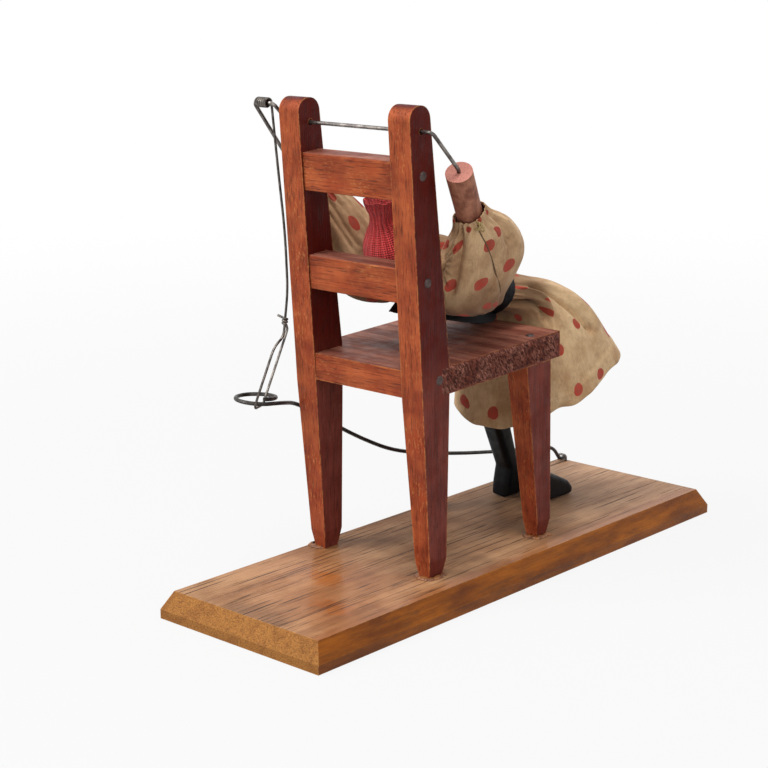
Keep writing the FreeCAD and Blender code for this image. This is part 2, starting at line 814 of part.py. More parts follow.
def build_sleeve(label, side, arm):
    """A gathered cuff opening into a drooping bag, cut flat beside the body."""
    shoulder, direction, hand = arm_axis(side)
    along = Vector(0, direction.y, direction.z).normalize()
    outward = Vector(0, direction.z, -direction.y).normalize()
    square = outward.cross(direction).normalize()
    tie = hand - direction * size("cuff_tie_along")
    edge = hand - direction * size("cuff_along")
    tie_radius = size("cuff_tie_radius")
    frill = size("cuff_frill_radius")
    depth = size("sleeve_depth")
    width = size("sleeve_width")
    sag = size("sleeve_sag")
    rings = [
        ring_wire(edge, square, outward, frill, frill),
        ring_wire(tie, square, outward, tie_radius, tie_radius),
    ]
    for share, droop, deep, wide in (
        (0.16, 0.55, 0.50, 0.80),
        (0.34, 1.15, 0.74, 0.95),
        (0.50, 1.2, 0.90, 1.0),
        (0.74, 0.95, 1.0, 1.0),
        (0.90, 1.15, 0.80, 0.84),
        (1.0, 1.05, 0.34, 0.44),
    ):
        middle = tie - direction * (share * size("sleeve_length")) + outward * (droop * sag)
        rings.append(ring_wire(middle, ACROSS * side, outward, wide * width, deep * depth))
    bag = shaped(label + "_blank", Part.makeLoft(rings, True, True))
    passage = primitive("Cylinder", label + "_pin_passage",
                        Radius="doll_pin_diameter / 2 + joint_gap",
                        Height="shoulder_pin_reach + joint_gap")
    aim(passage, SHOULDER + ACROSS * MIDDLE, Vector(side, 0, 0))
    return cut(label, bag, body_side(side), passage, arm)


def build_thread_ring(name, centre, direction, inner_radius, thread):
    """A wound thread as one flat band, as high and as thick as the thread."""
    foot = centre - direction * size(thread + " / 2")
    outer = primitive("Cylinder", name + "_outside", Radius=inner_radius + " + " + thread,
                      Height=thread)
    inner = primitive("Cylinder", name + "_inside", Radius=inner_radius, Height="2 * " + thread)
    aim(outer, foot, direction)
    aim(inner, foot - direction * size(thread + " / 2"), direction)
    return cut(name, outer, inner)


crank_wire, PIN = build_crank_wire()
arm_left = build_arm("arm_left", -1)
arm_right = build_arm("arm_right", 1)
ties = []
for side in (-1, 1):
    shoulder, direction, hand = arm_axis(side)
    ties.append(build_thread_ring("cuff_thread", hand - direction * size("cuff_tie_along"), direction,
                                  "cuff_tie_radius - cuff_thread_diameter / 2",
                                  "cuff_thread_diameter"))
cuff_threads = group("cuff_threads", ties)
sleeve_left = cut("sleeve_left", build_sleeve("left_bag", -1, arm_left), cuff_threads)
sleeve_right = cut("sleeve_right", build_sleeve("right_bag", 1, arm_right), cuff_threads)
crank = [crank_wire, arm_left, arm_right, sleeve_left, sleeve_right, cuff_threads]


# ---------------------------------------------------------------- lever
LEVER_RADIUS = size("lever_wire_diameter / 2")


def lever_ring():
    """The finger ring: a flat left-handed turn of wire, its rear side a little up."""
    pitch = size("ring_pitch")
    turns = size("ring_turns")
    tilt = Rotation(ACROSS, -size("ring_tilt"))
    low = tilt.multVec(Vector(0, 0, -pitch * turns / 2))
    centre = Vector(size("ring_side"), size("ring_forward"), size("board_thick + ring_height"))
    return left_helix(turns, pitch, size("ring_radius"), centre + low, tilt)


def build_lever():
    """A long wire: tail under the staple, bowed run past the post, swerve and finger ring."""
    ring = lever_ring()
    mouth, heading = start_of(ring)
    low = BOARD_TOP + LEVER_RADIUS + size("lever_anchor_lift")
    anchor = Vector(size("lever_side"), size("lever_anchor_forward"), low)
    run = bent_path([
        anchor + Vector(0, size("lever_tail"), 0),
        anchor - Vector(0, size("lever_tail"), 0),
    ] + [
        Vector(size("lever_side") - inward, forward, BOARD_TOP + height)
        for inward, forward, height in (
            (size("lever_hump_side"), size("lever_hump_forward"), size("lever_hump_height")),
            (size("lever_front_side"), size("lever_front_forward"), size("lever_front_height")),
            (size("lever_middle_side"), size("lever_middle_forward"), size("lever_middle_height")),
            (size("lever_seat_side"), size("lever_seat_forward"), size("lever_seat_height")),
            (size("lever_post_side"), size("lever_post_forward"), size("lever_post_height")),
            (size("lever_rear_side"), size("lever_rear_forward"), size("lever_rear_height")),
        )
    ] + [mouth - heading * size("ring_radius - lever_wire_diameter"), mouth])
    return shaped("lever_wire", drawn_wire(run + [ring], 2 * LEVER_RADIUS))


def build_staple():
    """A square-shouldered wire staple over the lever's tail, its legs in the board."""
    wire = size("staple_wire_diameter")
    half = size("staple_span / 2")
    middle = Vector(size("lever_side"), size("lever_anchor_forward"), BOARD_TOP)
    foot = Vector(0, 0, -size("staple_depth"))
    crown = Vector(0, 0, size("lever_anchor_lift + lever_wire_diameter + staple_clearance")
                   + wire / 2)
    path = bent_path((
        middle - ACROSS * half + foot,
        middle - ACROSS * half + crown,
        middle + ACROSS * half + crown,
        middle + ACROSS * half + foot,
    ), wire)
    return shaped("lever_staple", drawn_wire(path, wire))


lever_wire = build_lever()
lever_staple = build_staple()
stand.append(lever_staple)


# ---------------------------------------------------------------- connecting rod
def build_con_rod():
    """Coil round the crank pin, long bent rod, knot, and the wide loop round the ring."""
    wire = size("rod_wire_diameter")
    turns = size("coil_turns")
    pitch = size("coil_pitch")
    radius = size("crank_wire_diameter / 2 + coil_clearance") + wire / 2
    right_end = PIN - ACROSS * (size("crank_bend_radius") + wire / 2)
    left_end = right_end - ACROSS * (turns * pitch)
    wound = Rotation(Vector(0, -1, 0), Vector(0, 0, -1), ACROSS, "XYZ")
    coil = left_helix(turns, pitch, radius, left_end, wound)
    leave, heading = end_of(coil)
    side = ACROSS * (leave.x + size("rod_side_step"))

    def beside(drop, forward, across=0.0):
        return Vector(across, PIN.y + forward, PIN.z - drop) + side

    split = beside(size("rod_split_drop"), size("rod_split_forward"))
    knot = beside(size("rod_knot_drop"), size("rod_knot_forward"))
    knee = beside(size("rod_knee_drop"), size("rod_knee_forward"), size("rod_knee_side"))
    turn = math.radians(size("loop_turn"))
    spread = Vector(math.cos(turn), math.sin(turn), 0)
    angle = -math.radians(size("ring_wire_angle"))
    ring = Vector(size("ring_side"), size("ring_forward"), size("board_thick + ring_height"))
    held = ring + Vector(math.cos(angle), math.sin(angle), 0) * size("ring_radius")
    clear = LEVER_RADIUS + wire / 2 + size("loop_clearance")
    low = Vector(0, 0, -clear)
    rear = held - spread * clear + low
    front = held + spread * (clear + size("loop_travel")) + low
    lean = rear + Vector(size("loop_lean_side"), size("loop_lean_forward"),
                         size("loop_lean_height"))
    middle = (rear + front) * 0.5
    corner = size("loop_corner_radius")
    down = bent_path((leave, leave + heading * (2 * wire),
                      beside(size("rod_shoulder_drop"), size("rod_shoulder_forward")),
                      beside(size("rod_waist_drop"), size("rod_waist_forward")),
                      beside(size("rod_elbow_drop"), size("rod_elbow_forward")),
                      knot, split, knee, lean))
    start = down.pop()
    turn_in = bent_path((start.valueAt(start.FirstParameter), lean, rear, middle), corner)
    rod = drawn_wire([coil] + down + turn_in, wire)
    eye = split + Vector(size("eye_side"), size("eye_forward"), (knot.z - split.z) / 2)
    rod_up = (beside(size("rod_elbow_drop"), size("rod_elbow_forward")) - knot).normalize()
    wrap_start = knot - rod_up * size("knot_pitch")
    crossing = split + ACROSS * size("eye_side")
    back_up = drawn_wire(bent_path((middle, front, crossing, eye,
                                    wrap_start + ACROSS * size("eye_side")),
                                   corner), wire)
    wound = Rotation(ACROSS, Vector(), rod_up, "ZXY")
    wrap = left_helix(size("knot_turns"), size("knot_pitch"), size("eye_side"), wrap_start, wound)
    finish, heading = end_of(wrap)
    tail = Part.LineSegment(finish, finish + heading * size("knot_tail")).toShape()
    knotted = drawn_wire([wrap, tail], wire)
    return shaped("con_rod", rod.fuse([back_up, knotted]))


con_rod = build_con_rod()


# ---------------------------------------------------------------- doll
DROP = math.radians(size("spine_drop_angle"))
SPINE = Vector(0, math.cos(DROP), -math.sin(DROP))
CHEST_UP = Vector(0, math.sin(DROP), math.cos(DROP))
CHEST = SHOULDER + ACROSS * MIDDLE
HIP = CHEST + SPINE * size("hip_along")
HEAD = CHEST + SPINE * size("head_along") + CHEST_UP * size("head_rise")
HIP_HEIGHT = "(shoulder_height - hip_along * sin(spine_drop_angle))"


def build_torso():
    """A flat wooden trunk: neck, shoulders, waist, and a tongue between the legs."""
    body = new_body("torso_blank")
    front = new_sketch(body, "FrontOutline", "XY_Plane")
    right = (
        ("torso_neck_half_width", "torso_above_shoulder"),
        ("torso_half_width", "torso_above_shoulder / 3"),
        ("torso_half_width", "-torso_above_shoulder / 2"),
        ("torso_waist_half_width", "-waist_along"),
        ("torso_waist_half_width", "-hip_tongue_start"),
        ("hip_tongue_half_width", "-hip_tongue_start"),
        ("hip_tongue_half_width", "-hip_along - hip_end"),
    )
    left = [("-" + across, up) for across, up in reversed(right)]
    outline(front, list(right) + left)
    pad(body, front, "torso_thick", both_ways=True)
    place(body, "chair_middle", "shoulder_forward", "board_thick + shoulder_height",
          ACROSS, "180 - spine_drop_angle")
    return body


def build_pin(label, height, forward, reach):
    pin = primitive("Cylinder", label, Radius="doll_pin_diameter / 2", Height="2 * " + reach)
    place(pin, "chair_middle - " + reach, forward, "board_thick + " + height,
          Vector(0, 1, 0), "90")
    pin.Label = label
    return pin


def cap_axis():
    lean = math.radians(size("cap_lean"))
    return Vector(0, math.cos(lean), math.sin(lean))


def turned_on_cap_axis(label, corners):
    """A half outline of radius and height pairs, turned about the cap's axis through the head."""
    body = new_body(label)
    half = new_sketch(body, "HalfOutline", "XZ_Plane")
    outline(half, corners)
    turned = body.newObject("PartDesign::Revolution", "Turned")
    turned.Profile = half
    turned.ReferenceAxis = (half, ["V_Axis"])
    turned.Angle = 360
    doc.recompute()
    aim(body, HEAD, cap_axis())
    return body


def build_head():
    """A stuffed ball, turned from straight runs of twenty degrees."""
    steps = range(-90, 91, 20)
    middle = [("head_radius * cos(%d)" % rise, "head_radius * sin(%d)" % rise)
              for rise in steps[1:]]
    return turned_on_cap_axis("head_ball", [("0", "-head_radius")] + middle + [("0", "head_radius")])


def build_cap():
    """A close cap pulled in to a tied neck."""
    outer = "(head_radius + cap_thick)"
    return turned_on_cap_axis("cap_blank", (
        ("0", "-cap_brim_drop"),
        ("sqrt(%s ^ 2 - cap_brim_drop ^ 2)" % outer, "-cap_brim_drop"),
        (outer, "0"),
        (outer + " * cos(20)", outer + " * sin(20)"),
        (outer + " * cos(40)", outer + " * sin(40)"),
        (outer + " * cos(58)", outer + " * sin(58) + cap_thick / 2"),
        ("cap_tie_radius", "cap_tie_along - cap_thick"),
        ("cap_tie_radius", "cap_tie_along + cap_thick"),
        ("0", "cap_tie_along + cap_thick"),
    ))


def build_tassel():
    """The gathered end of the cap above its tie, flaring as it turns upright."""
    neck = HEAD + cap_axis() * size("cap_tie_along + cap_thick")
    lean = math.radians(size("tassel_lean"))
    upright = Vector(0, math.cos(lean), math.sin(lean))
    rings = []
    for share, reach in ((0.0, 0.0), (0.45, 0.42), (1.0, 1.0)):
        heading = (cap_axis() * (1 - share) + upright * share).normalize()
        radius = size("cap_tie_radius") + reach * size("tassel_radius - cap_tie_radius")
        middle = neck + (cap_axis() + upright).normalize() * (share * size("tassel_length"))
        rings.append(ring_wire(middle, ACROSS, heading.cross(ACROSS), radius, radius))
    return shaped("cap_tassel", Part.makeLoft(rings, True, True))


def doll_ring(along, half_width, half_depth, squareness=2.0):
    """A ring round the spine."""
    return ring_wire(CHEST + SPINE * along, ACROSS, CHEST_UP, half_width, half_depth, squareness)


def build_bodice():
    """Padded cotton from neck to waist, close round the trunk."""
    wide = size("bodice_half_width")
    deep = size("bodice_half_depth")
    waist_wide = size("waist_half_width")
    waist_deep = size("waist_half_depth")
    start = -size("torso_above_shoulder")
    waist = size("waist_along")
    rings = [doll_ring(start, 0.56 * wide, 0.62 * deep)]
    for share, width, depth in ((0.10, 0.86, 0.86), (0.30, 0.99, 1.0), (0.62, 0.99, 1.0)):
        rings.append(doll_ring(start + share * (waist - start), width * wide, depth * deep,
                               size("bodice_squareness")))
    rings.append(doll_ring(waist, waist_wide, waist_deep))
    return Part.makeLoft(rings, True, True)


def skirt_rings(inset):
    """Rings from waist to hem, each between a rear point and a front point."""
    waist_deep = size("waist_half_depth") - inset
    waist_wide = size("waist_half_width") - inset
    rings = [doll_ring(size("waist_along"), waist_wide, waist_deep)]
    clear = size("seat_front + skirt_rear_gap")
    wide = size("skirt_half_width")
    hem_forward = size("hem_front_forward")
    for lean, rear_up, forward, front_up, width in (
        (0.0, "seat_rear_height + lap_rear_rise", 0.18, "seat_rear_height + lap_front_rise", 0.62),
        (0.4, "seat_rear_height + thigh_rear_rise", 0.48, "seat_rear_height + thigh_front_rise", 0.80),
        (2.0, "hem_rear_height + shin_rear_rise", 0.80, "hem_front_height + shin_front_rise", 0.94),
        (3.4, "hem_rear_height", 1.0, "hem_front_height", 1.0),
    ):
        rear = Vector(MIDDLE, clear + lean, BOARD_TOP + size(rear_up))
        front = Vector(MIDDLE, clear + forward * (hem_forward - clear), BOARD_TOP + size(front_up))
        upward = front - rear
        half = upward.Length / 2 - inset
        upward.normalize()
        rings.append(ring_wire((front + rear) * 0.5, ACROSS, upward, width * wide - inset, half,
                               size("skirt_squareness")))
    return rings


def build_skirt():
    """Stiff cloth round a hollow for the legs: the turn over the lap, and the fall to the hem."""
    cloth = size("cloth_thick")
    outer = skirt_rings(0)
    inner = skirt_rings(cloth)
    last = inner[-1].copy()
    last.translate((inner[-1].CenterOfMass - inner[-2].CenterOfMass) * 0.2)
    above = inner[0].copy()
    above.translate(SPINE * -cloth)
    hollow = Part.makeLoft([above] + inner + [last], True, True)
    lap = Part.makeLoft(outer[:2], True, True).cut(hollow)
    fall = Part.makeLoft(outer[1:], True, True).cut(hollow)
    return lap, fall


def build_waistband():
    """A ribbon round the bodice, down to its seam with the skirt."""
    width = size("band_width")
    thick = size("band_thick")
    seam = size("waist_along")
    rings = []
    for rise in (1.0, 0.0):
        rings.append(doll_ring(seam - rise * width, size("waist_half_width") + thick,
                               size("waist_half_depth") + thick))
    inner = []
    for rise in (1.1, -0.1):
        inner.append(doll_ring(seam - rise * width, size("waist_half_width") - thick / 5,
                               size("waist_half_depth") - thick / 5))
    return Part.makeLoft(rings, True, True).cut(Part.makeLoft(inner, True, True))


def build_leg(label, side):
    """A jointed-doll leg in one piece, hip to boot, leaning a little to the left."""
    body = new_body(label + "_blank")
    hip = new_sketch(body, "Hip", "YZ_Plane")
    circle(hip, "0", "0", "2 * hip_radius")
    pad(body, hip, "leg_width", both_ways=True)
    sole = "(sole_gap - %s)" % HIP_HEIGHT
    profile = new_sketch(body, "SideProfile", "YZ_Plane")
    outline(profile, (
        ("-hip_radius", "0"),
        ("hip_radius", "0"),
        ("knee_forward + knee_depth / 2", "knee_depth / 2 - knee_drop"),
        ("ankle_forward + ankle_depth / 2", "-ankle_drop"),
        ("heel_forward + foot_length - toe_height / 2", sole + " + toe_height"),
        ("heel_forward + foot_length", sole + " + toe_height / 2"),
        ("heel_forward + foot_length", sole),
        ("heel_forward", sole),
        ("heel_forward", sole + " + toe_height"),
        ("ankle_forward - ankle_depth / 2", "-ankle_drop"),
        ("knee_forward - knee_depth / 2", "-knee_drop"),
    ))
    slab = pad(body, profile, "leg_width", both_ways=True)
    half = size("leg_width / 2")
    rims = []
    for index, edge in enumerate(slab.Shape.Edges, start=1):
        ends = [vertex.Point for vertex in edge.Vertexes]
        flat = all(abs(abs(point.x) - half) < 0.01 for point in ends)
        below = max(point.z for point in ends) < 0.01
        if flat and below and abs(ends[0].x - ends[-1].x) < 0.01:
            rims.append("Edge%d" % index)
    rounding = body.newObject("PartDesign::Fillet", "RoundedEdges")
    rounding.Base = (slab, rims)
    rounding.setExpression("Radius", bound("leg_edge_radius"))
    forward = "shoulder_forward + hip_along * cos(spine_drop_angle)"
    place(body, "chair_middle + %d * leg_side" % side, forward, "board_thick + " + HIP_HEIGHT,
          Vector(0, 1, 0), "leg_lean")
    bore = primitive("Cylinder", label + "_bore",
                     Radius="doll_pin_diameter / 2 + doll_pin_clearance",
                     Height="2 * (leg_side + leg_width)")
    place(bore, "chair_middle - leg_side - leg_width", forward, "board_thick + " + HIP_HEIGHT,
          Vector(0, 1, 0), "90")
    slot = primitive("Box", label + "_slot", Length="2 * (hip_tongue_half_width + joint_gap)",
                     Width="4 * hip_radius", Height="4 * hip_radius")
    place(slot, "chair_middle - hip_tongue_half_width - joint_gap", forward + " - 2 * hip_radius",
          "board_thick - 2 * hip_radius + " + HIP_HEIGHT)
    return cut(label, body, slot, bore)


shoulder_pin = build_pin("shoulder_pin", "shoulder_height", "shoulder_forward",
                         "shoulder_pin_reach")
hip_pin = build_pin("hip_pin", HIP_HEIGHT,
                    "shoulder_forward + hip_along * cos(spine_drop_angle)",
                    "(leg_side + leg_width / 2)")
torso = cut("torso", build_torso(), shoulder_pin, hip_pin)
head_ball = build_head()
neck_peg = primitive("Cylinder", "neck_peg_blank", Radius="neck_diameter / 2",
                     Height="neck_sink - head_along - torso_above_shoulder")
aim(neck_peg, CHEST - SPINE * size("torso_above_shoulder"), HEAD - CHEST)
neck_peg = cut("neck_peg", neck_peg, torso)
head = cut("head", head_ball, neck_peg)
cap_tie = build_thread_ring("cap_tie", HEAD + cap_axis() * size("cap_tie_along"), cap_axis(),
                            "cap_tie_radius", "cap_thread_diameter")
cap_tie.Label = "cap_tie"
cap = cut("cap", build_cap(), head_ball)
cap_tassel = build_tassel()
bodice_blank = shaped("bodice_blank", build_bodice())
bodice = cut("bodice", bodice_blank, torso, neck_peg, shoulder_pin)
lap_shape, fall_shape = build_skirt()
skirt_lap = shaped("skirt_lap", lap_shape)
skirt = shaped("skirt", fall_shape)
waistband = cut("waistband", shaped("band_blank", build_waistband()), bodice_blank, torso)
leg_left = build_leg("leg_left", -1)
leg_right = build_leg("leg_right", 1)
doll = [torso, neck_peg, head, cap, cap_tassel, cap_tie, shoulder_pin, hip_pin, bodice, skirt_lap,
        skirt, waistband]


# ---------------------------------------------------------------- hand over
everything = stand + crank + [con_rod, lever_wire] + doll + [leg_left, leg_right]
doc.recompute()
for item in doc.Objects:
    if "Invalid" in item.State or "Error" in item.State:
        raise ValueError("%s did not build" % item.Label)
for item in everything:
    if item.Shape.isNull() or not item.Shape.isValid():
        raise ValueError("%s has no sound shape" % item.Label)
os.makedirs("parts", exist_ok=True)
for item in everything:
    item.Shape.exportStep("parts/%s.step" % item.Label)
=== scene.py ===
"""Dresses the chair automaton: stained wood, wires, printed cotton, a knitted cap, a pale studio.

Metres, in the CAD model's own frame: +Z is up and the chair faces +Y.  Sizes written in
millimetres are multiplied by MM where they are used.
"""
import math

import bmesh
import bpy
from mathutils import Matrix, Vector, noise


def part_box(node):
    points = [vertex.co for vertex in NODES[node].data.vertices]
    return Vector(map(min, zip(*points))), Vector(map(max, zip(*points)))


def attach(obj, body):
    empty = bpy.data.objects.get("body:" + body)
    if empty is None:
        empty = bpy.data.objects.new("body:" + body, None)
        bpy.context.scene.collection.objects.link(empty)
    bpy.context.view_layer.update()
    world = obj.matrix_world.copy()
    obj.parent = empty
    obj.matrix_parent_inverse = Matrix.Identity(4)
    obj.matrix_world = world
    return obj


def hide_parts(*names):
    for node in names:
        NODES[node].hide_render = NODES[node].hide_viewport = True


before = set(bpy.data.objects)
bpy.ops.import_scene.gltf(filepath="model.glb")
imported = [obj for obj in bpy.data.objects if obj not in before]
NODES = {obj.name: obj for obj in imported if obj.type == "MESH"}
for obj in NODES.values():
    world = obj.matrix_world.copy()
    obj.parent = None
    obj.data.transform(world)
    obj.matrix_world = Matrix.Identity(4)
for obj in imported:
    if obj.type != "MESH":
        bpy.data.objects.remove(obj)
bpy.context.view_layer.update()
MM = 0.001
TURN = 2 * math.pi
ACROSS = Vector((1, 0, 0))
BOARD_TOP = 13.0
MIDDLE_X = -6.5  # the chair, the crank's throw and the doll all have their middle here


# ---------------- shader building
def paint(red, green, blue):
    """A colour given as it looks on a screen, 0 to 255, as the shader wants it."""
    def linear(level):
        share = level / 255
        return share / 12.92 if share <= 0.04045 else ((share + 0.055) / 1.055) ** 2.4
    return (linear(red), linear(green), linear(blue), 1.0)


def fill(tree, socket, value):
    """Link a socket to another node's output, or set it to a plain value."""
    if isinstance(value, bpy.types.NodeSocket):
        tree.links.new(value, socket)
    else:
        socket.default_value = value


def put(tree, kind, inputs=None, **settings):
    """Add a node, set its fields, and fill the inputs that are given."""
    node = tree.nodes.new("ShaderNode" + kind)
    for field, value in settings.items():
        setattr(node, field, value)
    for key, value in (inputs or {}).items():
        fill(tree, node.inputs[key], value)
    return node


def use_group(tree, group, inputs):
    return put(tree, "Group", inputs, node_tree=group).outputs


def object_place(tree):
    return put(tree, "TexCoord").outputs["Object"]


def parts_of(tree, vector):
    return put(tree, "SeparateXYZ", {0: vector}).outputs


def face_normal(tree):
    return put(tree, "NewGeometry").outputs["Normal"]


def flat_place(tree):
    """A spot's place on the flat cloth, in metres."""
    return put(tree, "UVMap", uv_map="flat").outputs[0]


def maths(tree, operation, first, second=0.0):
    return put(tree, "Math", {0: first, 1: second}, operation=operation).outputs[0]


def times(tree, first, second):
    return maths(tree, "MULTIPLY", first, second)


def mix(tree, share, first, second, way="MIX"):
    node = put(tree, "Mix", {0: share, 6: first, 7: second}, data_type="RGBA", blend_type=way)
    return node.outputs[2]


def ease(tree, value, low, high, start=0.0, end=1.0):
    """Where value goes from low to high, the result goes smoothly from start to end."""
    node = put(tree, "MapRange", {0: value, 1: low, 2: high, 3: start, 4: end},
               interpolation_type="SMOOTHSTEP")
    return node.outputs[0]


def cloud(tree, vector, scale, detail=3.0, roughness=0.55, distortion=0.0):
    node = put(tree, "TexNoise", {"Vector": vector, "Scale": scale, "Detail": detail,
                                  "Roughness": roughness, "Distortion": distortion})
    return node.outputs[0]


def stretched(tree, vector, scale, turn=(0, 0, 0)):
    node = put(tree, "Mapping", {"Vector": vector, "Scale": scale, "Rotation": turn})
    return node.outputs[0]


def turned(tree, vector, turn):
    return stretched(tree, vector, (1, 1, 1), turn)


def drawn_out(tree, vector, share):
    """Scale a vector along Z: below 1, a pattern is drawn out along it."""
    return stretched(tree, vector, (1, 1, share))


def new_group(name, inputs, outputs):
    tree = bpy.data.node_groups.new(name, "ShaderNodeTree")
    for label, kind, value in inputs:
        socket = tree.interface.new_socket(label, in_out="INPUT",
                                           socket_type="NodeSocket" + kind)
        if value is not None:
            socket.default_value = value
    for label, kind in outputs:
        tree.interface.new_socket(label, in_out="OUTPUT", socket_type="NodeSocket" + kind)
    inlet = tree.nodes.new("NodeGroupInput").outputs
    outlet = tree.nodes.new("NodeGroupOutput").inputs
    return tree, inlet, outlet


def build_grain():
    """Long wood fibres along Z, the growth rings' streaks, and short open pores."""
    tree, inlet, outlet = new_group(
        "wood_grain", [("Vector", "Vector", None), ("Streak Scale", "Float", 70.0)],
        [("Fibre", "Float"), ("Streaks", "Float"), ("Pores", "Float")])
    vector = inlet["Vector"]
    fibre = cloud(tree, drawn_out(tree, vector, 0.035), 1500.0, 4.0, 0.65)
    rings = cloud(tree, drawn_out(tree, vector, 0.06), inlet["Streak Scale"], 2.0, 0.5, 0.5)
    bands = maths(tree, "PINGPONG", times(tree, rings, 11.0), 1.0)
    dots = put(tree, "TexVoronoi", {"Vector": drawn_out(tree, vector, 0.09),
                                    "Scale": 900.0, "Randomness": 1.0})
    fill(tree, outlet["Fibre"], fibre)
    fill(tree, outlet["Streaks"], ease(tree, bands, 0.15, 0.95))
    fill(tree, outlet["Pores"], ease(tree, dots.outputs["Distance"], 0.34, 0.12))
    return tree


def build_wear():
    """Rubbed edges: where a rounded normal leaves the flat one, broken up by a noise."""
    tree, inlet, outlet = new_group(
        "edge_wear", [("Vector", "Vector", None), ("Radius", "Float", 0.8 * MM),
                      ("Breakup", "Float", 260.0)], [("Mask", "Float")])
    soft = put(tree, "Bevel", {"Radius": inlet["Radius"]}, samples=5)
    facing = put(tree, "VectorMath", {0: soft.outputs[0], 1: face_normal(tree)},
                 operation="DOT_PRODUCT").outputs["Value"]
    edge = ease(tree, facing, 0.985, 0.86)
    broken = ease(tree, cloud(tree, inlet["Vector"], inlet["Breakup"], 5.0, 0.7), 0.38, 0.62)
    rubbed = put(tree, "Math", {0: edge, 1: broken}, operation="MULTIPLY", use_clamp=True)
    fill(tree, outlet["Mask"], rubbed.outputs[0])
    return tree


def build_weave():
    """Plain weave: threads' height and a little change of shade.  Threads is radians a metre."""
    tree, inlet, outlet = new_group(
        "plain_weave", [("Vector", "Vector", None), ("Threads", "Float", 2600.0)],
        [("Height", "Float"), ("Shade", "Float")])
    parts = parts_of(tree, inlet["Vector"])
    warp = maths(tree, "SINE", times(tree, parts[0], inlet["Threads"]))
    weft = maths(tree, "SINE", times(tree, parts[1], inlet["Threads"]))
    fill(tree, outlet["Height"], times(tree, warp, weft))
    slubs = cloud(tree, stretched(tree, inlet["Vector"], (1, 0.12, 1)), 1800.0, 2.0)
    fill(tree, outlet["Shade"], slubs)
    return tree


GRAIN = build_grain()
WEAR = build_wear()
WEAVE = build_weave()

SOCKETS = {"metallic": "Metallic", "specular": "Specular IOR Level", "coat": "Coat Weight",
           "coat_roughness": "Coat Roughness", "sheen": "Sheen Weight",
           "sheen_roughness": "Sheen Roughness"}


def new_material(name):
    """A material that holds only a Principled shader, its first node, and the output."""
    made = bpy.data.materials.new(name)
    made.use_nodes = True
    tree = made.node_tree
    tree.nodes.clear()
    shader = put(tree, "BsdfPrincipled")
    put(tree, "OutputMaterial", {0: shader.outputs[0]})
    return made, tree


def finish(made, colour, roughness, relief, depth, strength, **others):
    """Fill a material's shader; depth is the relief's in millimetres, others name SOCKETS."""
    tree = made.node_tree
    shader = tree.nodes[0]
    bump = put(tree, "Bump", {"Height": relief, "Distance": depth * MM, "Strength": strength})
    fill(tree, shader.inputs["Base Color"], colour)
    fill(tree, shader.inputs["Roughness"], roughness)
    fill(tree, shader.inputs["Normal"], bump.outputs[0])
    for name, value in others.items():
        fill(tree, shader.inputs[SOCKETS[name]], value)
    return made


# ---------------- woods
UPRIGHT = (0, 0, 0)
CROSSWISE = (0, math.pi / 2, 0)
LENGTHWISE = (math.pi / 2, 0, 0)
# MAROON is the painted shade of the faces turned away from the rear; BRICK belongs to the painted
# light on the rear faces.
MAROON = paint(84, 17, 8)
BRICK = paint(160, 66, 34)
RUBBED = paint(216, 146, 86)
SOOT = paint(40, 16, 12)
DUSTY_LEGS = (0.125, 0.095)  # metres of height: clean stain above, dusty below


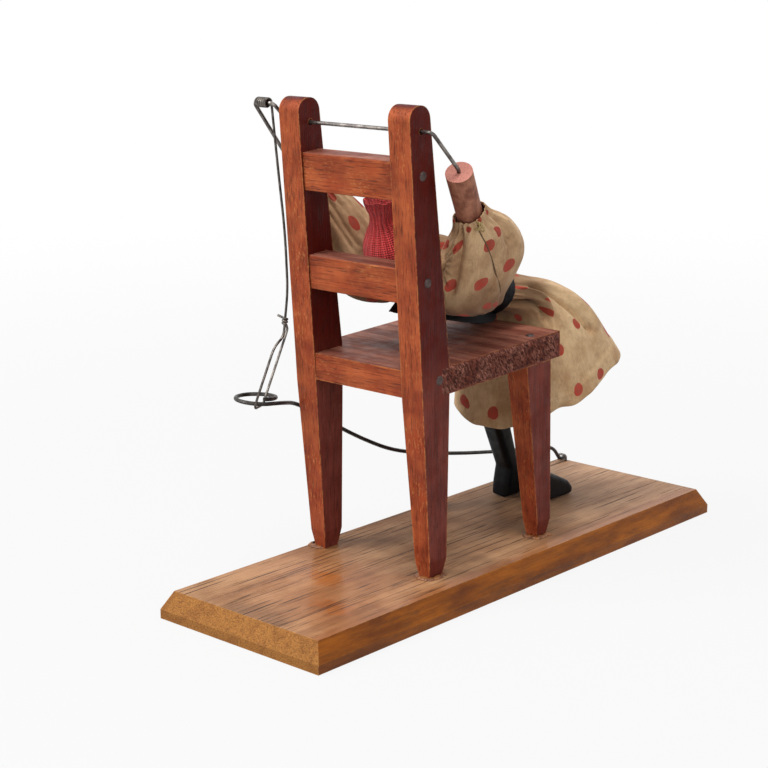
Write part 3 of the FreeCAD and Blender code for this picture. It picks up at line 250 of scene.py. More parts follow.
def stained_wood(name, turn, top_shade=0.0):
    """Red stain rubbed thin and pale along the edges; the faces turned to the rear are painted a
    brighter red as painted light, and the other faces a deep maroon as painted shade.
    """
    made, tree = new_material(name)
    place = object_place(tree)
    along = turned(tree, place, turn)
    grain = use_group(tree, GRAIN, {"Vector": along, "Streak Scale": 90.0})
    wear = use_group(tree, WEAR, {"Vector": place, "Radius": 1.1 * MM, "Breakup": 300.0})
    facing = parts_of(tree, face_normal(tree))
    # Painted light: faces turned to the rear get the brighter red, and the rest stay maroon as
    # painted shade.
    rear = ease(tree, facing[1], -0.3, -0.9)
    bleach = ease(tree, cloud(tree, place, 45.0, 5.0, 0.65), 0.32, 0.66)
    brick = mix(tree, bleach, paint(136, 58, 34), paint(180, 92, 53))
    brick = mix(tree, ease(tree, cloud(tree, along, 70.0, 2.0), 0.4, 0.7, 0.0, 0.5), brick, BRICK)
    low = ease(tree, parts_of(tree, place)[2], *DUSTY_LEGS)
    dust = ease(tree, cloud(tree, place, 60.0, 4.0), 0.3, 0.7, 0.35, 0.75)
    # The maroon here is painted shade on the faces away from the rear; the paler dust in patches
    # low on the legs is real.
    dusty = mix(tree, times(tree, low, dust), MAROON, paint(132, 66, 54))
    colour = mix(tree, rear, dusty, brick)
    # Pale rubbed flecks, strongest on the rear faces that carry the painted light.
    flecks = ease(tree, cloud(tree, drawn_out(tree, along, 0.26), 1150.0, 5.0, 0.8), 0.53, 0.66)
    patch = ease(tree, cloud(tree, place, 70.0, 3.0), 0.4, 0.62)
    strongest = maths(tree, "ADD", times(tree, rear, 0.62), 0.03)
    flecks = times(tree, times(tree, flecks, patch), strongest)
    colour = mix(tree, flecks, colour, RUBBED)
    colour = mix(tree, times(tree, grain["Streaks"], 0.20), colour, SOOT, "MULTIPLY")
    colour = mix(tree, ease(tree, grain["Fibre"], 0.50, 0.68, 0.0, 0.45), colour, SOOT)
    colour = mix(tree, times(tree, grain["Pores"], 0.45), colour, SOOT)
    if top_shade:
        above = times(tree, ease(tree, facing[2], 0.6, 0.95), top_shade)
        colour = mix(tree, above, colour, paint(122, 68, 54))
        worn = ease(tree, cloud(tree, drawn_out(tree, along, 0.1), 150.0, 6.0, 0.75), 0.42, 0.64)
        worn = times(tree, worn, times(tree, above, 0.8))
        colour = mix(tree, worn, colour, paint(186, 124, 102))
    colour = mix(tree, times(tree, wear["Mask"], 0.55), colour, RUBBED)
    rough = ease(tree, cloud(tree, place, 150.0, 3.0), 0.3, 0.7, 0.40, 0.62)
    relief = maths(tree, "SUBTRACT", grain["Fibre"], grain["Pores"])
    return finish(made, colour, rough, relief, 0.3, 0.6, specular=0.12)


# All in metres: where the board's top fades towards its front end, where varnish has run along
# its right edge, and the two blots of the thick puddle left behind the chair.
FADED_FRONT = (0.02, 0.14)
RIGHT_EDGE = (0.034, 0.046)
PUDDLE = ((-0.0072, -0.0866), (0.0226, -0.1123))
PUDDLE_SHAPE = (0.75, 1.25)
PUDDLE_THICK = (0.029, 0.021)
PUDDLE_THIN = (0.075, 0.020)


def board_wood():
    """Bare top split along the grain, varnish left in a puddle; amber sides and speckled ends."""
    made, tree = new_material("board_wood")
    place = object_place(tree)
    along = turned(tree, place, LENGTHWISE)
    grain = use_group(tree, GRAIN, {"Vector": along, "Streak Scale": 42.0})
    wear = use_group(tree, WEAR, {"Vector": place, "Radius": 0.9 * MM, "Breakup": 240.0})
    facing = parts_of(tree, face_normal(tree))
    top = ease(tree, facing[2], 0.93, 0.99)
    end = ease(tree, maths(tree, "ABSOLUTE", facing[1]), 0.3, 0.6)
    spot = parts_of(tree, place)
    pale = ease(tree, cloud(tree, along, 34.0, 4.0), 0.3, 0.7)
    bare = mix(tree, pale, paint(142, 100, 66), paint(182, 140, 102))
    grey = ease(tree, cloud(tree, place, 24.0, 3.0), 0.52, 0.7, 0.0, 0.6)
    bare = mix(tree, grey, bare, paint(118, 92, 70))
    faded = ease(tree, spot[1], *FADED_FRONT, 0.0, 0.45)
    bare = mix(tree, faded, bare, paint(192, 160, 136))
    honey = ease(tree, cloud(tree, drawn_out(tree, along, 0.25), 90.0, 5.0, 0.65), 0.32, 0.68)
    amber = mix(tree, honey, paint(104, 52, 8), paint(158, 88, 14))
    stains = cloud(tree, drawn_out(tree, along, 0.2), 130.0, 5.0, 0.7)
    amber = mix(tree, ease(tree, stains, 0.56, 0.72, 0.0, 0.5), amber, paint(78, 50, 28))
    speck = ease(tree, cloud(tree, drawn_out(tree, place, 2.2), 900.0, 5.0, 0.75), 0.34, 0.60)
    sawn = mix(tree, speck, paint(118, 74, 32), paint(170, 114, 54))
    smear = times(tree, cloud(tree, place, 90.0, 6.0, 0.75), 0.030)
    varnish = ease(tree, spot[0], *RIGHT_EDGE, 0.0, 0.6)
    across, lengthwise = PUDDLE_SHAPE
    for x, y in PUDDLE:
        apart = put(tree, "VectorMath", {0: stretched(tree, place, (across, lengthwise, 1)),
                                         1: (x * across, y * lengthwise, BOARD_TOP * MM)},
                    operation="DISTANCE").outputs["Value"]
        reach = maths(tree, "ADD", apart, smear)
        thick = ease(tree, reach, *PUDDLE_THICK, 0.0, 0.8)
        thin = ease(tree, reach, *PUDDLE_THIN, 0.0, 0.42)
        varnish = maths(tree, "MAXIMUM", varnish, maths(tree, "MAXIMUM", thick, thin))
    sides = mix(tree, end, amber, sawn)
    colour = mix(tree, top, sides, mix(tree, varnish, bare, paint(160, 88, 26)))
    streaks = times(tree, grain["Streaks"], 0.26)
    colour = mix(tree, streaks, colour, paint(150, 100, 64), "MULTIPLY")
    fibres = ease(tree, grain["Fibre"], 0.50, 0.66, 0.0, 0.35)
    colour = mix(tree, fibres, colour, paint(84, 50, 28))
    splits = cloud(tree, drawn_out(tree, along, 0.025), 820.0, 3.0, 0.6, 0.3)
    splits = times(tree, ease(tree, splits, 0.58, 0.65), times(tree, top, 0.8))
    colour = mix(tree, splits, colour, paint(52, 28, 16))
    colour = mix(tree, times(tree, wear["Mask"], 0.5), colour, paint(206, 150, 84))
    long_sides = maths(tree, "SUBTRACT", 1.0, maths(tree, "MAXIMUM", top, end))
    glossy = maths(tree, "MAXIMUM", times(tree, varnish, top), long_sides)
    rough = ease(tree, glossy, 0.0, 1.0, 0.55, 0.40)
    relief = maths(tree, "SUBTRACT", grain["Fibre"], times(tree, splits, 1.6))
    coat = times(tree, varnish, times(tree, top, 0.5))
    return finish(made, colour, rough, relief, 0.35, 0.6, specular=0.16, coat=coat,
                  coat_roughness=0.18)


def plain_wood(name, light, dark, turn=UPRIGHT, ends=None):
    """Bare wood darkened by handling; ends is a sawn end's colour and the way it faces."""
    made, tree = new_material(name)
    place = object_place(tree)
    along = turned(tree, place, turn)
    grain = use_group(tree, GRAIN, {"Vector": along, "Streak Scale": 160.0})
    colour = mix(tree, ease(tree, cloud(tree, along, 210.0, 4.0, 0.6), 0.3, 0.7), dark, light)
    colour = mix(tree, ease(tree, grain["Fibre"], 0.5, 0.7, 0.0, 0.5), colour, dark)
    if ends:
        sawn, direction = ends
        facing = put(tree, "VectorMath", {0: face_normal(tree), 1: direction},
                     operation="DOT_PRODUCT").outputs["Value"]
        speck = ease(tree, cloud(tree, place, 1500.0, 3.0), 0.35, 0.7)
        sawn = mix(tree, speck, sawn, paint(170, 112, 98))
        colour = mix(tree, ease(tree, facing, 0.9, 0.97), colour, sawn)
    colour = mix(tree, times(tree, grain["Pores"], 0.35), colour, paint(70, 40, 30))
    return finish(made, colour, 0.62, grain["Fibre"], 0.2, 0.5, specular=0.25)


TORN_SLANT = 58


def end_grain_wood():
    """Torn end grain of the seat plank, stained dark, with pale slanting fibres."""
    made, tree = new_material("end_grain_wood")
    place = object_place(tree)
    slanted = turned(tree, place, (math.radians(TORN_SLANT), 0, 0))
    slanted = stretched(tree, slanted, (1, 0.28, 1))
    torn = cloud(tree, slanted, 1100.0, 5.0, 0.75)
    cells = put(tree, "TexVoronoi", {"Vector": slanted, "Scale": 900.0}).outputs["Distance"]
    stain = ease(tree, cloud(tree, place, 120.0, 3.0), 0.35, 0.65)
    fibres = mix(tree, stain, paint(142, 76, 58), paint(188, 124, 104))
    colour = mix(tree, ease(tree, torn, 0.40, 0.66), paint(66, 26, 20), fibres)
    colour = mix(tree, ease(tree, cells, 0.30, 0.10, 0.0, 0.6), colour, paint(34, 13, 10))
    relief = maths(tree, "ADD", torn, cells)
    return finish(made, colour, 0.78, relief, 0.6, 0.9, specular=0.25)


# ---------------- metals
def drawn_metal(name, light, dark, metallic, low, high, rust=0.0):
    """Wire: fine draw marks, dark oxide in patches, and a little rust where asked."""
    made, tree = new_material(name)
    place = object_place(tree)
    oxide = ease(tree, cloud(tree, place, 240.0, 5.0, 0.65), 0.34, 0.66)
    colour = mix(tree, oxide, dark, light)
    if rust:
        spots = ease(tree, cloud(tree, place, 520.0, 4.0, 0.7), 0.56, 0.70, 0.0, rust)
        colour = mix(tree, spots, colour, paint(96, 54, 34))
    rough = ease(tree, cloud(tree, place, 700.0, 3.0), 0.3, 0.7, low, high)
    draw_marks = cloud(tree, place, 2400.0, 2.0)
    return finish(made, colour, rough, draw_marks, 0.04, 0.5, metallic=metallic)


# ---------------- cloths
CREAM = paint(222, 190, 148)
TEA = paint(178, 138, 98)
DOT_RED = paint(178, 62, 48)


def printed_cotton(name, pitch, radius, cream, tea, shade_and_dirt):
    """Aged cream cotton with scattered round dots, on the flat cloth's own measure in metres.

    The last argument says whether the darkening grows with height or with length, and where it
    starts and ends: painted shade low on the sleeve and at the skirt's top by the waist, with some
    real dirt on the sleeve.
    """
    made, tree = new_material(name)
    flat = flat_place(tree)
    place = object_place(tree)
    weave = use_group(tree, WEAVE, {"Vector": flat, "Threads": 9000.0})
    dots_grid = put(tree, "TexVoronoi", {"Vector": flat, "Scale": 1 / pitch, "Randomness": 0.5},
                    voronoi_dimensions="2D")
    uneven = times(tree, cloud(tree, flat, 900.0, 3.0), 0.03)
    distance = maths(tree, "ADD", dots_grid.outputs["Distance"], uneven)
    rim = radius / pitch
    dots = ease(tree, distance, rim + 0.022, rim + 0.008)
    aged = ease(tree, cloud(tree, place, 42.0, 6.0, 0.65), 0.34, 0.70)
    cotton = mix(tree, aged, cream, tea)
    grime = ease(tree, cloud(tree, place, 130.0, 6.0, 0.75), 0.50, 0.76, 0.0, 0.55)
    cotton = mix(tree, grime, cotton, paint(132, 96, 64))
    way, darkening_starts, darkening_full = shade_and_dirt
    measure = parts_of(tree, place)[2] if way == "height" else parts_of(tree, flat)[1]
    uneven = times(tree, cloud(tree, place, 80.0, 5.0, 0.7), 0.010)
    # Painted shade towards the sleeve's bottom and the skirt's top, with some real dirt on the
    # sleeve.
    shade_and_dirt_mask = ease(tree, maths(tree, "ADD", measure, uneven), darkening_starts, darkening_full, 0.0, 0.7)
    cotton = mix(tree, shade_and_dirt_mask, cotton, paint(104, 68, 44))
    worn = ease(tree, cloud(tree, flat, 420.0, 4.0, 0.7), 0.35, 0.7)
    colour = mix(tree, dots, cotton, mix(tree, worn, DOT_RED, paint(160, 76, 60)))
    slubs = ease(tree, weave["Shade"], 0.3, 0.75, 0.0, 0.25)
    colour = mix(tree, slubs, colour, paint(112, 82, 56))
    crumple = cloud(tree, flat, 260.0, 5.0, 0.6, 0.6)
    relief = maths(tree, "ADD", times(tree, crumple, 14.0), weave["Height"])
    return finish(made, colour, 0.9, relief, 0.05, 0.6, specular=0.15, sheen=0.08,
                  sheen_roughness=0.5)


STITCH_WIDE = 1.15
STITCH_TALL = 0.95


def knitted_wool(name, bright, deep):
    """Ribbed knitting: columns of stitches on the cloth's own measure."""
    made, tree = new_material(name)
    flat = flat_place(tree)
    parts = parts_of(tree, flat)
    ribs = maths(tree, "SINE", times(tree, parts[0], TURN / (STITCH_WIDE * MM)))
    slope = times(tree, maths(tree, "ABSOLUTE", ribs), 1.6)
    rows = times(tree, parts[1], TURN / (STITCH_TALL * MM))
    stitch = maths(tree, "SINE", maths(tree, "ADD", rows, slope))
    relief = maths(tree, "ADD", ribs, times(tree, stitch, 0.8))
    # Painted shade: the colour follows the stitches' relief, darker in the hollows and lighter on
    # the ridges.
    colour = mix(tree, ease(tree, relief, -1.6, 1.0), deep, bright)
    fluff = ease(tree, cloud(tree, flat, 2600.0, 4.0, 0.7), 0.45, 0.75, 0.0, 0.35)
    colour = mix(tree, fluff, colour, paint(222, 84, 84))
    aged = ease(tree, cloud(tree, flat, 90.0, 4.0, 0.6), 0.46, 0.74, 0.0, 0.4)
    colour = mix(tree, aged, colour, paint(146, 52, 44))
    return finish(made, colour, 0.95, relief, 0.3, 0.8, specular=0.15, sheen=0.15,
                  sheen_roughness=0.6)


def satin_ribbon():
    made, tree = new_material("satin_ribbon")
    flat = flat_place(tree)
    cords = maths(tree, "SINE", times(tree, parts_of(tree, flat)[0], 14000.0))
    dusty = ease(tree, cloud(tree, flat, 320.0, 5.0, 0.7), 0.5, 0.75, 0.0, 0.5)
    colour = mix(tree, dusty, paint(9, 8, 11), paint(34, 30, 27))
    return finish(made, colour, 0.55, cords, 0.06, 0.5, specular=0.14)


def head_cloth():
    made, tree = new_material("head_cloth")
    place = object_place(tree)
    weave = use_group(tree, WEAVE, {"Vector": place, "Threads": 8000.0})
    aged = ease(tree, cloud(tree, place, 90.0, 4.0), 0.35, 0.7)
    colour = mix(tree, aged, paint(214, 170, 138), paint(190, 142, 112))
    return finish(made, colour, 0.85, weave["Height"], 0.05, 0.4)


def twisted_thread(name, light, dark):
    made, tree = new_material(name)
    place = object_place(tree)
    twist = cloud(tree, stretched(tree, place, (1, 1, 3), (0.6, 0.5, 0)), 1700.0, 3.0)
    colour = mix(tree, ease(tree, twist, 0.4, 0.62), dark, light)
    return finish(made, colour, 0.8, twist, 0.12, 0.7)


def black_paint():
    """Black enamel on the legs: dusty in patches and scuffed pale along the edges."""
    made, tree = new_material("black_enamel")
    place = object_place(tree)
    wear = use_group(tree, WEAR, {"Vector": place, "Radius": 0.8 * MM, "Breakup": 420.0})
    dust = ease(tree, cloud(tree, place, 160.0, 5.0, 0.65), 0.48, 0.72, 0.0, 0.4)
    colour = mix(tree, dust, paint(10, 10, 12), paint(30, 30, 32))
    colour = mix(tree, times(tree, wear["Mask"], 0.25), colour, paint(70, 66, 62))
    rough = ease(tree, cloud(tree, place, 260.0, 4.0), 0.3, 0.7, 0.40, 0.62)
    brush_marks = cloud(tree, place, 600.0, 3.0)
    return finish(made, colour, rough, brush_marks, 0.12, 0.4, specular=0.18)


def old_glue():
    made, tree = new_material("old_glue")
    place = object_place(tree)
    clear = ease(tree, cloud(tree, place, 500.0, 4.0), 0.35, 0.68)
    colour = mix(tree, clear, paint(96, 52, 26), paint(150, 96, 52))
    return finish(made, colour, 0.4, cloud(tree, place, 900.0, 3.0), 0.3, 0.7)


# ---------------- shapes shared by the dress
# The middle of the chest in millimetres, and the doll's own directions, tilted back by LEAN.
CHEST = Vector((MIDDLE_X, -12.6, 152.5))
LEAN = math.radians(27.1)
SPINE = Vector((0, math.cos(LEAN), -math.sin(LEAN)))
CHEST_UP = Vector((0, math.sin(LEAN), math.cos(LEAN)))
SIDES = {1: "right", -1: "left"}
NEARLY_ALL = 0.99999


def through(rows, share):
    """A smooth value between equally spaced rows of numbers."""
    spot = min(max(share, 0.0), NEARLY_ALL) * (len(rows) - 1)
    index = int(spot)
    part = spot - index
    here, there = rows[index], rows[index + 1]
    before = rows[max(index - 1, 0)]
    after = rows[min(index + 2, len(rows) - 1)]
    result = []
    for a, b, c, d in zip(before, here, there, after):
        start = (c - a) / 2
        end = (d - b) / 2
        curve = (2 * b - 2 * c + start + end) * part ** 3
        curve += (3 * c - 3 * b - 2 * start - end) * part ** 2
        result.append(curve + start * part + b)
    return result


def around(turn, squareness):
    """A point of a ring, round at squareness 2 and squarer above it."""
    side = math.cos(TURN * turn)
    rise = math.sin(TURN * turn)
    reach = (abs(side) ** squareness + abs(rise) ** squareness) ** (-1 / squareness)
    return reach * side, reach * rise


def slanted_ring(centre, rear_y, rear_z, front_y, front_z):
    """Middle of a ring that is given by its rearmost and frontmost spots, and half its slant."""
    rear = Vector((centre, rear_y, rear_z))
    front = Vector((centre, front_y, front_z))
    return (front + rear) / 2, (front - rear) / 2


def ripple(turn, along, seed, scale=1.0):
    """A repeatable soft noise round a tube, from -1 to 1."""
    angle = TURN * turn
    spot = Vector((math.cos(angle) * scale, math.sin(angle) * scale, along * scale + seed))
    return noise.noise(spot * 2.0)


def gap_to_line(x, y, start, end):
    """Distance from a spot on the flat cloth to a straight stretch of a fold."""
    run_x, run_y = end[0] - start[0], end[1] - start[1]
    share = ((x - start[0]) * run_x + (y - start[1]) * run_y) / (run_x ** 2 + run_y ** 2)
    share = min(1.0, max(0.0, share))
    return math.hypot(x - start[0] - share * run_x, y - start[1] - share * run_y)


def folded(turn, along, flat, folds):
    """Lift of the cloth in millimetres; a fold is its lift, its half width and its line of spots.

    A fold's turns run from 0.5 to 1.5, so that it may cross the grid's seam at 1.
    """
    wide, long = flat[0] / MM, flat[1] / MM
    turn = turn + 1 if turn < 0.5 else turn
    lift = 0.0
    for height, half, line in folds:
        spots = [(spot[0] * wide, spot[1] * long) for spot in line]
        gap = min(gap_to_line(turn * wide, along * long, start, end)
                  for start, end in zip(spots, spots[1:]))
        if gap < half * 3:
            lift += height * math.exp(-(gap / half) ** 2)
    return lift


SEAM_GAP = 0.01 * MM


def skin(name, columns, rows, flat, shape, closed=True):
    """A grid laid out by shape(turn, along) in millimetres, its UV map the flat cloth in metres."""
    grid = bmesh.new()
    flat_map = grid.loops.layers.uv.new("flat")
    bmesh.ops.create_grid(grid, x_segments=columns, y_segments=rows, size=0.5)
    for face in grid.faces:
        for loop in face.loops:
            spot = loop.vert.co
            loop[flat_map].uv = ((spot.x + 0.5) * flat[0], (spot.y + 0.5) * flat[1])
    for vertex in grid.verts:
        vertex.co = Vector(shape(vertex.co.x + 0.5, vertex.co.y + 0.5)) * MM
    if closed:
        bmesh.ops.remove_doubles(grid, verts=grid.verts, dist=SEAM_GAP)
    bmesh.ops.recalc_face_normals(grid, faces=grid.faces)
    mesh = bpy.data.meshes.new(name)
    grid.to_mesh(mesh)
    grid.free()
    mesh.shade_smooth()
    piece = bpy.data.objects.new(name, mesh)
    bpy.context.scene.collection.objects.link(piece)
    return piece


def thicken(piece, thick, levels=1):
    """Give a skin its thickness inwards, in millimetres, and round it off."""
    wall = piece.modifiers.new("Thickness", "SOLIDIFY")
    wall.thickness = thick * MM
    wall.offset = -1
    wall.use_even_offset = False
    if levels:
        smooth = piece.modifiers.new("Smooth", "SUBSURF")
        smooth.levels = levels
        smooth.render_levels = levels


def dress(piece, material, body, slot, *nodes):
    """Give a piece its material, hang it on the body that it rides on, and hide the nodes that it
    stands for.
    """
    piece.data.materials.append(material)
    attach(piece, body)
    if nodes:
        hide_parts(*nodes)


# ---------------- the materials, one of each
STAINED_UPRIGHT = stained_wood("stain_upright", UPRIGHT)
STAINED_ACROSS = stained_wood("stain_across", CROSSWISE, 0.7)
STAINED_SEAT = stained_wood("stain_seat", CROSSWISE, 0.85)
BOARD = board_wood()
END_GRAIN = end_grain_wood()
# The skirt darkens near its waist and the sleeve towards its bottom: painted shade, with some real
# dirt on the sleeve.
COTTON = printed_cotton("dotted_cotton", 23.0 * MM, 3.1 * MM, CREAM, TEA,
                        ("length", 0.046, 0.018))
SLEEVE_COTTON = printed_cotton("sleeve_cotton", 16.5 * MM, 2.8 * MM, paint(216, 180, 138),
                               paint(164, 124, 90), ("height", 0.160, 0.137))
KNIT = knitted_wool("knit_red", paint(240, 76, 74), paint(172, 38, 42))
RIBBON = satin_ribbon()
LINEN_THREAD = twisted_thread("linen_thread", paint(206, 184, 128), paint(140, 112, 66))
SEAM_THREAD = twisted_thread("seam_thread", paint(118, 90, 56), paint(70, 50, 32))
RED_THREAD = twisted_thread("red_yarn", paint(176, 44, 54), paint(104, 18, 28))
NAIL_IRON = drawn_metal("nail_iron", paint(92, 78, 74), paint(48, 36, 36), 0.6, 0.5, 0.75, 0.5)
STEEL = drawn_metal("crank_steel", paint(138, 132, 126), paint(84, 78, 76), 0.95, 0.3, 0.45, 0.3)
ROD_STEEL = drawn_metal("rod_steel", paint(118, 112, 106), paint(66, 62, 58), 0.95, 0.32, 0.5, 0.3)
BLACK_WIRE = drawn_metal("lever_black", paint(70, 66, 62), paint(34, 32, 32), 0.6, 0.3, 0.5, 0.25)
LEG_BLACK = black_paint()
HEAD_CLOTH = head_cloth()
DOLL_WOOD = plain_wood("doll_wood", paint(206, 170, 124), paint(168, 126, 84))
GLUE = old_glue()


# ---------------- finishes of the CAD nodes
ARM_LENGTH = 64.0
HAND_SPREAD = {1: (16.9, 38.0), -1: (18.2, 42.0)}


def towards_hand(side):
    """The direction of an arm; side is 1 for the right one and -1 for the left."""
    spread, back = HAND_SPREAD[side]
    rise = math.sqrt(ARM_LENGTH ** 2 - spread ** 2 - back ** 2)
    return Vector((side * spread, -back, rise)) / ARM_LENGTH


def repaint_nodes():
    """Give every CAD node its finish."""
    finishes = [
        (BOARD, "base_board"),
        (STAINED_SEAT, "seat_board"),
        (STAINED_UPRIGHT, "rear_post_left", "rear_post_right", "front_leg_left", "front_leg_right"),
        (STAINED_ACROSS, "top_rail", "middle_rail"),
        (NAIL_IRON, "top_rail_nails", "middle_rail_nails", "seat_nails", "front_leg_nails"),
        (NAIL_IRON, "shoulder_pin", "hip_pin"),
        (STEEL, "lever_staple", "crank_wire"),
        (ROD_STEEL, "con_rod"),
        (BLACK_WIRE, "lever_wire"),
        (DOLL_WOOD, "torso", "neck_peg"),
        (HEAD_CLOTH, "head"),
        (RED_THREAD, "cap_tie"),
        (LINEN_THREAD, "cuff_threads"),
        (LEG_BLACK, "leg_left", "leg_right"),
    ]
    for side in (-1, 1):
        name = "arm_" + SIDES[side]
        hand = towards_hand(side)
        lean = Vector((0, 0, 1)).rotation_difference(hand).inverted().to_euler()
        dowel = plain_wood(name + "_dowel", paint(176, 118, 92), paint(126, 76, 58),
                           tuple(lean), (paint(198, 128, 112), tuple(hand)))
        finishes.append((dowel, name))
    for finish, *nodes in finishes:
        for name in nodes:
            for slot in NODES[name].material_slots:
                slot.material = finish


def soften_carving(name):
    """Round the facets of a carved and painted leg."""
    leg = NODES[name]
    weld = leg.modifiers.new("Join", "WELD")
    weld.merge_threshold = SEAM_GAP
    skinned = leg.modifiers.new("Skin", "REMESH")
    skinned.mode = "VOXEL"
    skinned.voxel_size = 0.6 * MM
    skinned.use_smooth_shade = True
    smooth = leg.modifiers.new("Smooth", "SMOOTH")
    smooth.factor = 0.5
    smooth.iterations = 8


repaint_nodes()
soften_carving("leg_left")
soften_carving("leg_right")


# ---------------- skirt
# Middle x, rear y, rear z, front y, front z, half width, squareness of each ring, waist to hem.
SKIRT_ROWS = (
    (-6.5, 19.8, 123.6, 29.8, 143.2, 17.6, 2.0),
    (-6.5, 38.3, 118.5, 50.2, 137.4, 23.0, 2.5),
    (-6.8, 38.9, 101.8, 70.1, 131.4, 30.2, 3.2),
    (-7.5, 40.3, 81.4, 90.2, 116.2, 35.6, 3.6),
    (-8.5, 41.7, 59.0, 106.2, 96.0, 38.5, 4.0),
)
# Lift of the hem at equal turns: right side, front, left side, rear, and back to the right.
HEM_LIFT = (3.0, 2.0, -0.5, 0.0, 0.0, 0.0, 0.0, 0.0, 0.0, 1.5, 0.5, -1.6, -1.0, 3.3, 9.0, 5.5, 3.0)
SKIRT_FLAT = (0.225, 0.084)
SKIRT_GATHERS = 23
HEM_START = 0.885
HEM_PROUD = 0.5
SKIRT_FOLDS = (
    (-8.5, 4.4, ((0.915, 0.130), (0.940, 0.200), (0.950, 0.279), (0.938, 0.360))),
    (2.8, 1.8, ((1.045, 0.110), (1.041, 0.159), (1.030, 0.232), (0.989, 0.324), (0.944, 0.425),
                (0.919, 0.490))),
    (-3.4, 2.2, ((1.075, 0.190), (1.056, 0.300), (1.046, 0.403), (1.053, 0.550), (1.057, 0.690))),
    (1.9, 4.0, ((1.102, 0.138), (1.107, 0.323), (1.095, 0.519), (1.091, 0.700))),
    (-1.2, 2.0, ((0.700, 0.780), (0.675, 0.900), (0.640, 0.960))),
    (1.0, 2.5, ((0.735, 0.800), (0.715, 0.960))),
)


def skirt_point(turn, along):
    *ring, half, squareness = through(SKIRT_ROWS, along)
    side, rise = around(turn, squareness)
    middle, upward = slanted_ring(*ring)
    outward = (ACROSS * side + upward.normalized() * rise).normalized()
    angle = TURN * turn
    gather = 0.5 * math.cos(SKIRT_GATHERS * angle + 6 * ripple(turn, 0.2, 4.0))
    gather *= max(0.0, 1 - along * 3.6)
    swing = along * (0.9 * math.cos(5 * angle + 1.1) + 0.6 * math.cos(8 * angle + 2.3))
    crease = 1.8 * ripple(turn, along, 7.0, 1.6) * min(1.0, along * 2)
    hem_fold = HEM_PROUD if along > HEM_START else 0.0
    lift = gather + min(0.0, swing) + min(0.0, crease) + hem_fold
    lift += folded(turn, along, SKIRT_FLAT, SKIRT_FOLDS)
    point = middle + ACROSS * (half * side) + upward * rise + outward * lift
    point.z += along ** 3 * through([(hem,) for hem in HEM_LIFT], turn)[0]
    point.z += along ** 6 * 1.2 * ripple(turn, 0.9, 2.0, 2.5)
    return point


def build_skirt():
    piece = skin("cotton_skirt", 166, 71, SKIRT_FLAT, skirt_point)
    thicken(piece, 0.5)
    dress(piece, COTTON, "doll", "cotton", "skirt_lap", "skirt")


# ---------------- bodice
# Distance down the spine, half width, half depth and squareness of each ring, neck to waist.
BODICE_ROWS = (
    (-10.0, 8.4, 6.6, 2.0),
    (-7.0, 14.6, 10.0, 2.2),
    (0.0, 18.4, 12.4, 2.4),
    (10.0, 18.8, 13.0, 2.4),
    (20.0, 18.7, 13.0, 2.4),
    (31.0, 18.2, 12.2, 2.2),
    (41.0, 17.7, 11.1, 2.0),
)
BODICE_FLAT = (0.105, 0.056)
WAIST_GATHERS = 27


def bodice_point(turn, along):
    down, half, deep, squareness = through(BODICE_ROWS, along)
    side, rise = around(turn, squareness)
    angle = TURN * turn
    gather = 0.5 * math.cos(WAIST_GATHERS * angle + 2 * ripple(turn, 0, 9.0))
    gather *= max(0.0, along * 3 - 2)
    crease = 1.1 * min(0.2, ripple(turn, along, 3.0, 2.0))
    outward = ACROSS * side + CHEST_UP * rise
    middle = CHEST + SPINE * down
    return middle + ACROSS * (half * side) + CHEST_UP * (deep * rise) + outward * (gather + crease)


def build_bodice():
    piece = skin("cotton_bodice", 120, 40, BODICE_FLAT, bodice_point)
    thicken(piece, 0.4)
    dress(piece, COTTON, "doll", "cotton", "bodice")


# ---------------- sleeves
# Middle x, rear y, rear z, front y, front z, half width of each ring, cuff to closed end.
RIGHT_SLEEVE = (
    (35.0, -40.9, 176.7, -29.3, 185.9, 7.8),
    (33.6, -39.6, 172.4, -23.0, 182.4, 8.2),
    (30.5, -41.0, 166.0, -6.5, 177.0, 10.8),
    (26.5, -43.0, 157.0, 9.4, 167.0, 12.0),
    (23.5, -41.4, 147.4, 14.6, 157.4, 12.4),
    (20.5, -38.0, 138.0, 12.0, 147.6, 12.2),
    (17.5, -28.8, 131.4, 8.4, 138.8, 11.0),
    (15.0, -11.0, 127.8, 9.0, 132.4, 7.4),
    (13.0, -1.0, 128.2, 3.0, 129.8, 2.0),
)
LEFT_SLEEVE = (
    (-52.5, -56.0, 183.4, -39.5, 193.0, 9.0),
    (-49.5, -53.5, 177.4, -32.4, 186.2, 9.0),
    (-46.0, -51.3, 168.8, -24.8, 178.6, 10.2),
    (-43.0, -46.5, 155.2, -17.8, 171.0, 11.6),
    (-40.0, -41.6, 142.4, -10.8, 163.4, 12.2),
    (-37.0, -35.2, 134.1, -5.0, 154.2, 12.2),
    (-33.0, -28.2, 130.7, -4.5, 144.7, 10.4),
    (-29.0, -21.2, 130.2, -6.6, 137.3, 7.0),
    (-26.0, -15.8, 132.1, -13.4, 134.5, 2.0),
)
SLEEVE_FLAT = (0.108, 0.071)
SLEEVE_SQUARENESS = 2.3
CUFF_GATHERS = 19
CUFF_PINCH = 0.11
# The armhole lies against the bodice: how far it is from the doll's middle, and its pleats.
ARMHOLE_OUT = 19.4
ARMHOLE_PLEATS = 22
ARMHOLE_REACH = 24.0
